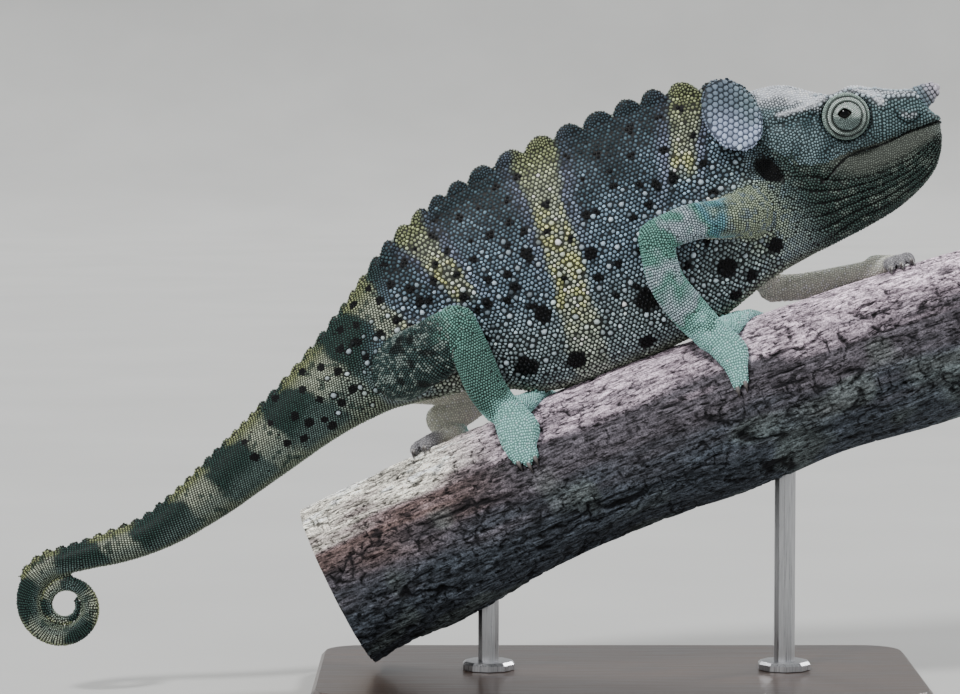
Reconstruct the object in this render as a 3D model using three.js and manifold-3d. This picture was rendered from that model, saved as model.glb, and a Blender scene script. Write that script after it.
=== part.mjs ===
// A life-size chameleon (the giant one-horned kind) on a cut length of branch, held by a display stand.
// Millimetres, +Z up, the animal's head towards +X and its right side towards -Y.
// The animal's flesh is a set of lofts and tubes, parted by thin gaps into head, neck, trunk, tail and limbs.
import * as THREE from "three";
import { mergeVertices } from "three/addons/utils/BufferGeometryUtils.js";
import Module from "manifold-3d";

const wasm = await Module();
wasm.setup();

// ---- Driving dimensions -------------------------------------------------------------------------

const GAP = 0.3; // clearance between neighbouring solids
const FINE = 0.05; // detail of the finished solids that is too small to keep
const BODY_SIDES = 14; // facets round the trunk
const TAIL_SIDES = 8; // facets round the thin tail
const LIMB_SIDES = 10;
const TOE_SIDES = 6;
const EYE = { x: 128.6, y: 9.6, z: 215.5, radius: 8.5, depth: 8.4 };
const LOBE = {
  x: 86.6,
  y: 16.2,
  z: 216,
  length: 11.2,
  height: 14.3,
  thickness: 2.4,
  tilt: 25,
  lean: 14,
  flare: 14,
};
const HORN = {
  base: [154.4, 220.6],
  tip: [163.5, 226.3],
  baseRadius: 4.8,
  tipRadius: 1.6,
  bulge: 0.8,
  across: 0.85,
};
// Points are the places on a lobe of the crest that its outline goes through.
const CREST = { thickness: 2.6, root: 4, roundness: 0.55, points: [0, 0.14, 0.5, 0.86] };
const BRANCH = { x: 49.5, z: 92, slope: 22, bend: 1500, radius: 29, from: -119, to: 139.5, sides: 24 };
const STAND = { length: 224, width: 124, height: 10, x: 46, bevel: 1.5, corner: 14 };
const KNIFE = 90; // side of the block that cuts a limb at its joint
const ROD = { radius: 4, flange: 10, flangeHeight: 3, length: 120, low: -2, high: 108 };
const RIDGE = { height: 0.7, spread: 0.25 }; // up the skull's side: 1 is its top, -1 its bottom
const CLAW = { length: 2.8, radius: 0.95, lift: 0.4, bend: 1.5, sides: 4 };

// Body sections from chin to tail: top x, z; bottom x, z; half-width; how much the top and the bottom narrow.
const BODY = [
  [164.2, 213.2, 165.4, 207.5, 2.2, 0, 0.3],
  [159.5, 212, 165, 202.6, 4.6, 0, 0.35],
  [150, 209.4, 163, 196, 7.4, 0, 0.4],
  [139, 206.5, 157.5, 188.6, 9.8, 0, 0.42],
  [127, 204.5, 149, 181.2, 11.8, 0, 0.42],
  [116, 207.5, 139, 175.1, 12.8, 0.05, 0.4],
  [104, 215.5, 128, 169.3, 13.4, 0.2, 0.36],
  [90, 221.5, 115, 162.7, 14.2, 0.35, 0.3],
  [76, 224, 102, 155, 15.6, 0.45, 0.22],
  [63.5, 222, 89, 144.6, 18, 0.5, 0.14],
  [48.5, 216.6, 76, 135.4, 20.2, 0.5, 0.08],
  [33.5, 210.5, 61.5, 128.4, 21.6, 0.5, 0.06],
  [19, 204.2, 46.5, 122.5, 22, 0.5, 0.06],
  [4, 197, 32, 116.7, 21.8, 0.5, 0.06],
  [-9, 190, 19, 113.8, 21, 0.5, 0.08],
  [-20, 183.2, 6.5, 114.6, 19.4, 0.48, 0.1],
  [-29, 176.2, -6, 114.8, 17.4, 0.45, 0.12],
  [-37.5, 168.4, -20, 111.6, 14.8, 0.4, 0.14],
  [-44.7, 159.6, -33, 108.6, 12.4, 0.35, 0.15],
  [-51.8, 149.5, -42.5, 104.8, 10.8, 0.3, 0.15],
  [-59.8, 138.6, -52.5, 99.6, 9.6, 0.3, 0.15],
  [-68.3, 127.6, -62.5, 93.4, 8.6, 0.28, 0.15],
  [-76.8, 117.8, -71.5, 87, 7.9, 0.25, 0.12],
  [-85.3, 108.8, -80, 81, 7.3, 0.22, 0.1],
  [-93.8, 99.8, -88.5, 75, 6.7, 0.2, 0.1],
  [-103, 90.8, -97, 69, 6.2, 0.18, 0.08],
  [-112, 81.6, -106, 63.4, 5.7, 0.16, 0.06],
  [-121, 73.2, -115.8, 57.8, 5.2, 0.14, 0.05],
  [-130.5, 66, -126.6, 53.2, 4.8, 0.12, 0.04],
  [-140.3, 61.8, -137.6, 49.8, 4.4, 0.1, 0.03],
  [-149.7, 58.4, -148.2, 47.7, 4.1, 0.08, 0.02],
];

// The tail then winds in a flat spiral. One turn of it is 1 in "turn", which starts a quarter turn before 0.
// The centreline's radius falls so that each turn just clears the next.
const COIL = {
  x: -159.5,
  z: 34,
  start: -0.25,
  end: 1.6,
  steps: 34,
  radius: (turn) => 13.7 - 9.25 * turn + 2.13 * turn * turn,
  height: (turn) => 8.9 - 4.25 * turn,
  flatness: 0.39, // half-width over height
  narrowTop: 0.08,
  narrowBottom: 0.02,
};

// Where the body is parted, as positions along BODY (whole numbers are its rows).
const JAW = 0;
const THROAT = 4.3;
const NECK = 6.4;
const SHOULDER = 9.2;
const WAIST = 13.5;
const VENT = 18.3;
const TAIL_2 = 21.4;
const TAIL_3 = 24.6;
const TAIL_4 = 28;

// Skull sections from the nape to the snout, in BODY's form, and how far the brow stands out there.
const SKULL = [
  [92.5, 224, 101, 198, 11.5, 0.3, 0.1, 0.04],
  [100.5, 226.4, 109.3, 193.6, 14, 0.42, 0.05, 0.08],
  [108, 226.8, 117, 191.6, 15.2, 0.45, 0.05, 0.1],
  [116, 224.8, 123.2, 193.4, 14.6, 0.42, 0.05, 0.12],
  [123.5, 223.6, 128.4, 198.2, 12.4, 0.3, 0.05, 0.2],
  [131.5, 226.8, 134.8, 201.8, 10.6, 0.2, 0.02, 0.26],
  [140, 225.8, 141.8, 204.6, 9.2, 0.2, 0, 0.26],
  [148.5, 225.4, 149.2, 208.2, 7.8, 0.22, 0, 0.2],
  [155, 225, 156.4, 211, 6.4, 0.2, 0, 0.12],
  [159, 219.8, 161.2, 212.8, 4.6, 0.1, 0, 0],
  [161.6, 217, 164.4, 213, 3, 0, 0, 0],
  [164.2, 215.6, 165.4, 213.4, 1.4, 0, 0, 0],
];

// Crest lobes: distance along the back from the nape, spacing there, height there.
const CREST_SIZES = [
  [0, 10.4, 4.4],
  [16, 13, 4.6],
  [32, 9.8, 4.8],
  [50, 12.4, 4.5],
  [66, 10.8, 4.5],
  [80, 13, 4.8],
  [96, 11.8, 4.6],
  [106, 9.8, 4.2],
  [114, 8, 3.6],
  [126, 9, 3.2],
  [148, 7.4, 2.8],
  [155, 9.4, 2.7],
  [162, 5, 2.2],
  [172, 6.4, 2.2],
  [188, 8, 2.3],
  [200, 6.6, 2.1],
  [217, 6, 1.9],
  [222, 4.4, 1.8],
  [250, 5, 1.7],
  [320, 5, 1.3],
  [345, 4.6, 1],
];

// Limbs: x, y, z, radius in the plane of the body, radius across it. y is outwards.
const LIMBS = {
  front_right: {
    side: -1,
    upper: [
      [93.5, 12.5, 180.5, 8.4, 7.4],
      [84, 17.5, 178.6, 6.9, 6.4],
      [71, 21.5, 177, 6.7, 5.8],
      [58.4, 24, 171.8, 6.4, 5.7],
    ],
    lower: [
      [58.4, 24, 171.8, 6.4, 5.7],
      [62, 25, 157, 6.7, 5.8],
      [69.6, 25, 146.2, 7, 5.8],
      [78.6, 23, 136.8, 6.4, 5.2],
    ],
  },
  hind_right: {
    side: -1,
    upper: [
      [-35.3, 9, 121.1, 10.4, 8],
      [-29, 14.5, 126, 11.2, 8],
      [-22.5, 19, 130.5, 11.4, 7.6],
      [-17, 21.6, 136.5, 9.4, 6.8],
      [-13.6, 23, 140.8, 7, 5.8],
    ],
    lower: [
      [-13.6, 23, 140.8, 7, 5.8],
      [-8, 24, 128.8, 7.2, 5.8],
      [-3.2, 23.4, 117.4, 7.2, 5.6],
      [2.2, 21, 109.6, 6.8, 5.2],
    ],
  },
  front_left: {
    side: 1,
    upper: [
      [91, 12, 174, 8, 7],
      [97, 19, 162.6, 6.6, 6],
      [105, 26, 150.6, 5.2, 5],
    ],
    lower: [
      [105, 26, 150.6, 5.2, 5],
      [115, 24.4, 151.2, 5.2, 4.8],
      [125.2, 21.6, 153.4, 4.9, 4.6],
      [142.2, 14, 158.4, 3.8, 3.7],
    ],
  },
  hind_left: {
    side: 1,
    upper: [
      [-33, 8.5, 119, 10.5, 7.6],
      [-20, 17, 117.4, 10.5, 7.2],
      [-5, 25, 111.5, 7.4, 6.6],
    ],
    lower: [
      [-5, 25, 111.5, 7.4, 6.6],
      [-12.5, 21.6, 105.8, 7.2, 6],
      [-20, 17.5, 101.2, 6.2, 5.4],
    ],
  },
};

// Toes lie on the branch: distance along it from its middle, degrees round it from its top towards the
// foot's outer side, height of the toe's centreline over the bark, radius. A foot's toes start in its ankle.
const FEET = {
  front_right: {
    ankle: [43.2, 36.5, 9, 5.6],
    outer: [
      [[45.8, 50, 4.4, 4.2], [45.9, 60, 2.3, 2.7], [45.2, 70, 1.5, 1.7]],
      [[49.4, 46, 4.2, 4.4], [48.9, 59, 2.3, 2.6], [48.4, 68.5, 1.5, 1.7]],
    ],
    inner: [
      [[48.6, 16, 3.4, 3.4], [52.6, -8, 2, 2.5], [56, -33, 1.5, 1.7]],
      [[49.8, 20, 3.6, 3.4], [55.6, -4, 2.2, 2.6], [60, -30, 1.5, 1.7]],
      [[50.4, 26, 3.4, 3.2], [58, 2, 2, 2.4], [63.4, -22, 1.5, 1.6]],
    ],
  },
  hind_right: {
    ankle: [-35, 32, 9.4, 5.4],
    outer: [
      [[-37.4, 46, 4.4, 4.2], [-38.4, 54, 2.8, 2.9], [-38.2, 61.5, 1.7, 1.9]],
      [[-34.4, 48, 4.6, 4.2], [-35.3, 57, 2.8, 2.9], [-35, 65.5, 1.7, 1.9]],
      [[-30.4, 44, 4.4, 4.7], [-31.9, 55, 2.6, 2.8], [-31.9, 63, 1.7, 1.9]],
    ],
    inner: [
      [[-29.5, 14, 3.6, 3.6], [-25, -8, 2.2, 2.7], [-21.6, -32, 1.6, 1.8]],
      [[-28.4, 20, 3.6, 3.4], [-21.8, -1, 2.2, 2.6], [-17.4, -24, 1.6, 1.8]],
    ],
  },
  front_left: {
    ankle: [109.4, 25, 5.4, 4.2],
    outer: [
      [[113, 44, 3, 3], [114, 58, 2, 2.3], [113.6, 72, 1.4, 1.6]],
      [[116.4, 43, 3, 3], [117.8, 57, 2, 2.3], [117.6, 71, 1.4, 1.6]],
    ],
    inner: [
      [[113, 12, 3.4, 2.8], [113.4, 2, 2.8, 2.2], [112.8, -7, 1.6, 1.6]],
      [[115.4, 13, 3.6, 2.8], [117, 3, 3, 2.2], [116.8, -6, 1.6, 1.6]],
      [[117.2, 16, 3.6, 2.6], [120.4, 6, 3.2, 2.2], [120.8, -3, 1.6, 1.6]],
    ],
  },
  hind_left: {
    ankle: [-57, 31, 6.6, 4.8],
    outer: [
      [[-61.4, 47, 3.6, 3.6], [-63.4, 60, 2.2, 2.6], [-63.8, 72, 1.6, 1.8]],
      [[-57.8, 48, 3.6, 3.6], [-59.6, 62, 2.2, 2.6], [-60, 75, 1.6, 1.8]],
      [[-54.2, 47, 3.4, 3.4], [-55.8, 61, 2.2, 2.5], [-56.2, 74, 1.6, 1.8]],
    ],
    inner: [
      [[-64, 18, 3.2, 3.2], [-70.6, 8, 2.6, 2.4], [-72, -3, 1.7, 1.7]],
      [[-61.6, 16, 3.2, 3.2], [-66.6, 5, 2.8, 2.5], [-67.8, -6, 1.7, 1.7]],
    ],
  },
};

// ---- Shape tools --------------------------------------------------------------------------------

// A closed geometry as a manifold solid, with its faces turned outwards.
function solidOf(geometry) {
  const bare = geometry.clone();
  bare.deleteAttribute("normal");
  bare.deleteAttribute("uv");
  const merged = mergeVertices(bare, 1e-4);
  const positions = merged.attributes.position.array;
  const triVerts = new Uint32Array(merged.index.array);
  const make = () => new wasm.Manifold(new wasm.Mesh({ numProp: 3, vertProperties: positions, triVerts }));
  if (make().volume() > 0) return make();
  for (let i = 0; i < triVerts.length; i += 3) {
    [triVerts[i], triVerts[i + 1]] = [triVerts[i + 1], triVerts[i]];
  }
  return make();
}

function geometryOf(solid) {
  const mesh = solid.getMesh();
  const geometry = new THREE.BufferGeometry();
  geometry.setAttribute("position", new THREE.BufferAttribute(new Float32Array(mesh.vertProperties), 3));
  geometry.setIndex(new THREE.BufferAttribute(new Uint32Array(mesh.triVerts), 1));
  geometry.computeVertexNormals();
  return geometry;
}

const joined = (solids) => solids.reduce((all, solid) => all.add(solid));

// The main piece of a solid, without the slivers that a cut can leave on its far side.
const mainPiece = (solid) => solid.decompose().sort((a, b) => b.volume() - a.volume())[0];

// A closed surface through rings of points, each end closed by a fan.
function loft(rings) {
  const sides = rings[0].length;
  const points = rings.flat();
  const index = [];
  for (let i = 0; i + 1 < rings.length; i++)
    for (let j = 0; j < sides; j++) {
      const a = i * sides + j;
      const b = i * sides + ((j + 1) % sides);
      index.push(a, b, a + sides, b, b + sides, a + sides);
    }
  [0, rings.length - 1].forEach((ring) => {
    const middle = new THREE.Vector3();
    rings[ring].forEach((p) => middle.addScaledVector(p, 1 / sides));
    points.push(middle);
    for (let j = 0; j < sides; j++) {
      const edge = [ring * sides + j, ring * sides + ((j + 1) % sides)];
      if (ring === 0) edge.reverse();
      index.push(points.length - 1, ...edge);
    }
  });
  const geometry = new THREE.BufferGeometry().setFromPoints(points);
  geometry.setIndex(index);
  return solidOf(geometry);
}

// The smooth curve through a table's rows at position t, column by column (Catmull-Rom).
function along(rows, t) {
  const i = Math.min(Math.max(Math.floor(t), 0), rows.length - 2);
  const f = t - i;
  const [a, b, c, d] = [-1, 0, 1, 2].map((k) => rows[Math.min(Math.max(i + k, 0), rows.length - 1)]);
  return b.map((here, k) => {
    const bend = 2 * a[k] - 5 * here + 4 * c[k] - d[k];
    const twist = 3 * (here - c[k]) + d[k] - a[k];
    return here + 0.5 * f * (c[k] - a[k] + f * (bend + f * twist));
  });
}

// One section of the body or skull: a tall egg that narrows by the given shares at its top and bottom.
function section(row, sides, grow = 0) {
  const [topX, topZ, bottomX, bottomZ, halfWidth, narrowTop, narrowBottom, ridge = 0] = row;
  const height = Math.hypot(topX - bottomX, topZ - bottomZ);
  const stretch = 1 + (2 * grow) / height;
  const middle = [(topX + bottomX) / 2, (topZ + bottomZ) / 2];
  return Array.from({ length: sides }, (_, j) => {
    const angle = (2 * Math.PI * j) / sides;
    const up = Math.cos(angle);
    const share = (up + 1) / 2;
    const narrowing = 1 - narrowTop * share ** 1.5 - narrowBottom * (1 - share) ** 1.5;
    const ridging = 1 + ridge * Math.exp(-(((up - RIDGE.height) / RIDGE.spread) ** 2));
    return new THREE.Vector3(
      middle[0] + (up * stretch * (topX - bottomX)) / 2,
      (halfWidth + grow) * Math.sin(angle) * narrowing * ridging,
      middle[1] + (up * stretch * (topZ - bottomZ)) / 2,
    );
  });
}

// How far past its last row a tube's rounded end reaches, in radii.
const END = 0.8;

// A tube with round ends through rows of x, y, z, radius in the plane of y = 0, radius across it.
function tube(rows, sides, steps, grow = 0, across = new THREE.Vector3(0, 1, 0)) {
  const last = rows.length - 1;
  const point = (t) => new THREE.Vector3(...along(rows, t).slice(0, 3));
  const ring = (t, shift, scale) => {
    const row = along(rows, t);
    const tangent = point(Math.min(t + 0.05, last)).sub(point(Math.max(t - 0.05, 0))).normalize();
    const side = across.clone().addScaledVector(tangent, -across.dot(tangent)).normalize();
    const up = side.clone().cross(tangent);
    const [inPlane, lateral] = [row[3] + grow, (row[4] ?? row[3]) + grow];
    const middle = point(t).addScaledVector(tangent, shift * (Math.min(inPlane, lateral) + grow));
    return Array.from({ length: sides }, (_, j) => {
      const angle = (2 * Math.PI * j) / sides;
      return middle
        .clone()
        .addScaledVector(up, inPlane * scale * Math.cos(angle))
        .addScaledVector(side, lateral * scale * Math.sin(angle));
    });
  };
  const rings = [
    ring(0, -END, Math.sqrt(1 - END * END)),
    ...Array.from({ length: steps + 1 }, (_, i) => ring((last * i) / steps, 0, 1)),
    ring(last, END, Math.sqrt(1 - END * END)),
  ];
  return loft(rings);
}

// ---- Body ---------------------------------------------------------------------------------------

// The coil's sections follow the table's, so that a position past the table's end is on the spiral.
function coilRow(turn) {
  const angle = Math.PI * (1 + 2 * turn);
  const height = COIL.height(turn);
  const [outer, inner] = [1, -1].map((s) => COIL.radius(turn) + (s * height) / 2);
  const at = (r) => [COIL.x + r * Math.cos(angle), COIL.z + r * Math.sin(angle)];
  return [...at(outer), ...at(inner), height * COIL.flatness, COIL.narrowTop, COIL.narrowBottom];
}
const coilTurns = Array.from(
  { length: COIL.steps + 1 },
  (_, i) => COIL.start + ((COIL.end - COIL.start) * i) / COIL.steps,
);
const SPINE = [...BODY, ...coilTurns.map(coilRow)];
const COIL_START = BODY.length;
const COIL_MIDDLE = COIL_START + 17;
const SPINE_END = SPINE.length - 1;

// How far apart along the table two sections are that stand half a gap apart.
function halfGap(t) {
  const middle = (s) => {
    const row = along(SPINE, s);
    return new THREE.Vector2(row[0] + row[2], row[1] + row[3]).multiplyScalar(0.5);
  };
  return (0.5 * GAP) / (middle(t + 0.02).distanceTo(middle(t - 0.02)) / 0.04);
}

const backPoint = (t) => new THREE.Vector2(...along(SPINE, t).slice(0, 2));
const NAPE = 7.2;
const CREST_END = COIL_START + 3;

// Distance along the back from the nape, and the crest's height there: round lobes with sharp notches.
const backSteps = 700;
const backTable = [];
{
  let distance = 0;
  let lobe = 0;
  for (let i = 0; i <= backSteps; i++) {
    const t = NAPE + ((CREST_END - NAPE) * i) / backSteps;
    if (i) distance += backPoint(t).distanceTo(backPoint(backTable[i - 1].t));
    const [, spacing, height] = sized(distance);
    lobe += i ? (distance - backTable[i - 1].distance) / spacing : 0;
    backTable.push({ t, distance, lobe, height });
  }
}
function sized(distance) {
  const i = Math.max(
    0,
    CREST_SIZES.findLastIndex((row) => row[0] <= distance),
  );
  const [a, b] = [CREST_SIZES[i], CREST_SIZES[Math.min(i + 1, CREST_SIZES.length - 1)]];
  const f = b[0] > a[0] ? (distance - a[0]) / (b[0] - a[0]) : 0;
  return a.map((v, k) => v + f * (b[k] - v));
}

// The crest between two positions, as a thin upright plate whose upper edge is a row of lobes.
function crest(from, to) {
  const [first, last] = [Math.max(from, NAPE), Math.min(to, CREST_END)];
  const stations = backTable.filter((row) => row.t > first && row.t < last);
  const wanted = [first];
  stations.forEach((row, i) => {
    const next = stations[i + 1];
    const passed = (point) => Math.floor(next.lobe - point) > Math.floor(row.lobe - point);
    if (next && CREST.points.some(passed)) wanted.push(row.t);
  });
  wanted.push(last);
  const edge = wanted.map((t) => {
    const row = backTable[Math.round(((t - NAPE) / (CREST_END - NAPE)) * backSteps)];
    const [topX, topZ, bottomX, bottomZ] = along(SPINE, t);
    const up = new THREE.Vector2(topX - bottomX, topZ - bottomZ).normalize();
    const top = new THREE.Vector2(topX, topZ);
    const rise = row.height * Math.abs(Math.sin(Math.PI * row.lobe)) ** CREST.roundness;
    return { high: top.clone().addScaledVector(up, rise), low: top.clone().addScaledVector(up, -CREST.root) };
  });
  const outline = [...edge.map((e) => e.high), ...edge.map((e) => e.low).reverse()];
  const plate = new THREE.ExtrudeGeometry(new THREE.Shape(outline), {
    depth: CREST.thickness,
    bevelEnabled: false,
  });
  plate.rotateX(Math.PI / 2).translate(0, CREST.thickness / 2, 0);
  return solidOf(plate);
}

// The body between two positions, half a gap short at each parted end, with its length of crest.
function bodyPart(from, to, sides, steps, grow = 0) {
  const a = from > 0 ? from + halfGap(from) : from;
  const b = to < SPINE_END ? to - halfGap(to) : to;
  const rings = Array.from({ length: steps + 1 }, (_, i) =>
    section(along(SPINE, a + ((b - a) * i) / steps), sides, grow),
  );
  const flesh = loft(rings);
  return b > NAPE && a < CREST_END && !grow ? flesh.add(crest(a, b)) : flesh;
}

// ---- Branch and stand ---------------------------------------------------------------------------

const ALONG_BRANCH = new THREE.Vector3(1, 0, 0).applyAxisAngle(
  new THREE.Vector3(0, -1, 0),
  THREE.MathUtils.degToRad(BRANCH.slope),
);

// A place on or over the branch: distance along it, degrees round it from the top (towards side), and
// distance from its axis.
function onBranch(distance, degrees, out, side = -1) {
  const slope = THREE.MathUtils.degToRad(BRANCH.slope);
  const lean = slope - distance / BRANCH.bend;
  const round = THREE.MathUtils.degToRad(degrees);
  const reach = BRANCH.bend + out * Math.cos(round);
  return new THREE.Vector3(
    BRANCH.x + BRANCH.bend * Math.sin(slope) - reach * Math.sin(lean),
    side * out * Math.sin(round),
    BRANCH.z - BRANCH.bend * Math.cos(slope) + reach * Math.cos(lean),
  );
}

// Old bark is never quite round: slow swellings along and round the branch, all below its nominal radius.
function barkRadius(distance, degrees, grow) {
  const round = THREE.MathUtils.degToRad(degrees);
  const under = (1 - Math.cos(round)) / 2;
  const swelling = 0.7 * Math.sin(distance / 17 + 2 * round) + 0.5 * Math.sin(distance / 9.5 - round);
  const thicker = 0.05 * Math.max(0, -20 - distance);
  return BRANCH.radius + grow + under * (swelling + thicker);
}

const overBark = (distance, degrees, height, side) =>
  onBranch(distance, degrees, barkRadius(distance, -side * degrees, height), side);

function branch(grow = 0) {
  const STEPS = 9;
  const rings = Array.from({ length: STEPS + 1 }, (_, i) => {
    const distance = BRANCH.from - grow + ((BRANCH.to - BRANCH.from + 2 * grow) * i) / STEPS;
    return Array.from({ length: BRANCH.sides }, (_, j) => {
      const degrees = (360 * j) / BRANCH.sides;
      return onBranch(distance, degrees, barkRadius(distance, degrees, grow));
    });
  });
  return loft(rings);
}

function standBase() {
  const { length, width, height, corner, bevel, x } = STAND;
  const [a, b] = [length / 2 - bevel, width / 2 - bevel];
  const plate = new THREE.Shape();
  plate.moveTo(corner - a, -b);
  plate.absarc(a - corner, corner - b, corner, -Math.PI / 2, 0);
  plate.absarc(a - corner, b - corner, corner, 0, Math.PI / 2);
  plate.absarc(corner - a, b - corner, corner, Math.PI / 2, Math.PI);
  plate.absarc(corner - a, corner - b, corner, Math.PI, 1.5 * Math.PI);
  const geometry = new THREE.ExtrudeGeometry(plate, {
    depth: height - bevel,
    bevelThickness: bevel,
    bevelSize: bevel,
    bevelSegments: 1,
    curveSegments: 3,
  });
  const solid = solidOf(geometry.translate(x, 0, 0));
  const under = new THREE.BoxGeometry(2 * length, 2 * width, 20).translate(x, 0, -10);
  return solid.subtract(solidOf(under));
}

// A rod with a round foot, standing on the base and cut off by the bark above it.
function standRod(x) {
  const floor = STAND.height + GAP;
  const profile = [
    [0, 0],
    [ROD.flange, 0],
    [ROD.flange, ROD.flangeHeight - 1],
    [ROD.flange - 1, ROD.flangeHeight],
    [ROD.radius, ROD.flangeHeight],
    [ROD.radius, ROD.length],
    [0, ROD.length],
  ].map(([r, z]) => new THREE.Vector2(r, z));
  const rod = new THREE.LatheGeometry(profile, 10).rotateX(Math.PI / 2).translate(x, 0, floor);
  const pieces = solidOf(rod).subtract(branch(GAP)).decompose();
  return pieces.sort((a, b) => a.boundingBox().min[2] - b.boundingBox().min[2])[0];
}

// ---- Head ---------------------------------------------------------------------------------------

function eyeball(side, grow = 0) {
  const ball = new THREE.SphereGeometry(1, 12, 8).rotateX(Math.PI / 2);
  ball.scale(EYE.radius + grow, EYE.depth + grow, EYE.radius + grow).translate(EYE.x, side * EYE.y, EYE.z);
  return solidOf(ball);
}

function skull(grow = 0) {
  const STEPS = 11;
  const rings = Array.from({ length: STEPS + 1 }, (_, i) =>
    section(along(SKULL, ((SKULL.length - 1) * i) / STEPS), BODY_SIDES, grow),
  );
  return loft(rings);
}

// A cone of the given axis whose blunt tip is a small dome.
function horn(grow = 0) {
  const [base, tip] = [HORN.base, HORN.tip].map(([x, z]) => new THREE.Vector3(x, 0, z));
  const length = base.distanceTo(tip);
  const profile = [
    [0, 0],
    [HORN.baseRadius + grow, 0],
    [(HORN.baseRadius + HORN.tipRadius + HORN.bulge) / 2 + grow, length * 0.55],
    [HORN.tipRadius + grow, length - HORN.tipRadius * 0.5],
    [HORN.tipRadius * 0.6 + grow, length],
    [0, length + HORN.tipRadius * 0.3 + grow],
  ].map(([r, y]) => new THREE.Vector2(r, y));
  const cone = new THREE.LatheGeometry(profile, 10);
  cone.scale(1, 1, HORN.across);
  const upright = new THREE.Vector3(0, 1, 0);
  const turn = new THREE.Quaternion().setFromUnitVectors(upright, tip.sub(base).normalize());
  return solidOf(cone.applyQuaternion(turn).translate(base.x, 0, base.z));
}

// The flap behind each cheek: a flat disc whose rear edge stands away from the neck.
function occipitalLobe(side) {
  const disc = new THREE.SphereGeometry(1, 14, 6).rotateX(Math.PI / 2);
  disc.scale(LOBE.length, LOBE.thickness, LOBE.height);
  disc.rotateY(THREE.MathUtils.degToRad(-LOBE.tilt));
  disc.rotateX(THREE.MathUtils.degToRad(side * LOBE.lean));
  disc.rotateZ(THREE.MathUtils.degToRad(-side * LOBE.flare));
  return solidOf(disc.translate(LOBE.x, side * LOBE.y, LOBE.z));
}

// ---- Limbs --------------------------------------------------------------------------------------

// One half of a limb, cut off at the plane that halves the bend of its elbow or knee.
function limbPart(limb, part, grow = 0) {
  const rows = (name) => limb[name].map(([x, y, z, a, b]) => [x, limb.side * y, z, a, b]);
  const [from, joint] = rows("upper").slice(-2).map((row) => new THREE.Vector3(...row));
  const to = new THREE.Vector3(...rows("lower")[1]);
  const normal = joint.clone().sub(from).normalize().add(to.sub(joint).normalize()).normalize();
  if (part === "lower") normal.negate();
  const knife = new THREE.BoxGeometry(KNIFE, KNIFE, KNIFE);
  knife.applyQuaternion(new THREE.Quaternion().setFromUnitVectors(new THREE.Vector3(0, 0, 1), normal));
  knife.translate(...joint.addScaledVector(normal, (KNIFE - GAP) / 2 + grow).toArray());
  return tube(rows(part), LIMB_SIDES, 4, grow).subtract(solidOf(knife));
}

const toesOf = (foot) => [...foot.outer, ...foot.inner];

function toeRows(foot, toe, side) {
  return [foot.ankle, ...toe].map(([distance, degrees, height, radius]) => [
    ...overBark(distance, degrees, height, side).toArray(),
    radius,
  ]);
}

function footSolid(foot, side) {
  return joined(toesOf(foot).map((toe) => tube(toeRows(foot, toe, side), TOE_SIDES, 3, 0, ALONG_BRANCH)));
}

// A claw carries on from the end of its toe along the bark, bending down to it.
function claw(toe, side) {
  const [before, last] = toe.slice(-2);
  const step = Math.sign(last[1] - before[1]);
  const perDegree = (BRANCH.radius * Math.PI) / 180;
  const drift = (last[0] - before[0]) / Math.abs(last[1] - before[1]);
  const rings = [0, 0.5, 1].map((f) => {
    const turn = (last[3] * END + GAP + f * CLAW.length) / perDegree;
    const height = last[2] + CLAW.lift - CLAW.bend * f * f;
    const middle = overBark(last[0] + drift * turn, last[1] + step * turn, height, side);
    const radius = CLAW.radius * (1 - 0.85 * f);
    const outwards = onBranch(last[0], last[1] + step * turn, 1, side).sub(onBranch(last[0], 0, 0, side));
    return Array.from({ length: CLAW.sides }, (_, j) => {
      const angle = (2 * Math.PI * j) / CLAW.sides;
      const across = ALONG_BRANCH.clone().multiplyScalar(radius * Math.sin(angle));
      return middle.clone().addScaledVector(outwards, radius * Math.cos(angle)).add(across);
    });
  });
  return loft(rings);
}

// ---- Assembly -----------------------------------------------------------------------------------

const MATERIALS = {
  flank: new THREE.MeshStandardMaterial({ color: 0x54646c, roughness: 0.6 }),
  tail: new THREE.MeshStandardMaterial({ color: 0x4c5c54, roughness: 0.6 }),
  head: new THREE.MeshStandardMaterial({ color: 0x6e807f, roughness: 0.6 }),
  throat: new THREE.MeshStandardMaterial({ color: 0x48564c, roughness: 0.6 }),
  limb: new THREE.MeshStandardMaterial({ color: 0x6f998c, roughness: 0.6 }),
  eye: new THREE.MeshStandardMaterial({ color: 0x86a097, roughness: 0.5 }),
  horn: new THREE.MeshStandardMaterial({ color: 0xb8a9a4, roughness: 0.5 }),
  claw: new THREE.MeshStandardMaterial({ color: 0x6d6a6c, roughness: 0.4 }),
  bark: new THREE.MeshStandardMaterial({ color: 0x6d5c60, roughness: 0.9 }),
  base: new THREE.MeshStandardMaterial({ color: 0x2b2724, roughness: 0.45 }),
  rod: new THREE.MeshStandardMaterial({ color: 0x8f8f93, roughness: 0.3, metalness: 1 }),
};
const model = new THREE.Group();

function place(name, solid, material) {
  const mesh = new THREE.Mesh(geometryOf(mainPiece(solid).simplify(FINE)), MATERIALS[material]);
  mesh.name = name;
  model.add(mesh);
}

const bark = branch();
const barkClear = branch(GAP);
const skullClear = skull(GAP);
const hornClear = horn(GAP);
const eyesClear = joined([eyeball(-1, GAP), eyeball(1, GAP)]);
const lobes = { right: occipitalLobe(-1), left: occipitalLobe(1) };
const bodyClear = bodyPart(0, VENT + 3, BODY_SIDES, 32, GAP);

place("perch", bark, "bark");
place("stand_base", standBase(), "base");
place("stand_rod_low", standRod(ROD.low), "rod");
place("stand_rod_high", standRod(ROD.high), "rod");

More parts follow.
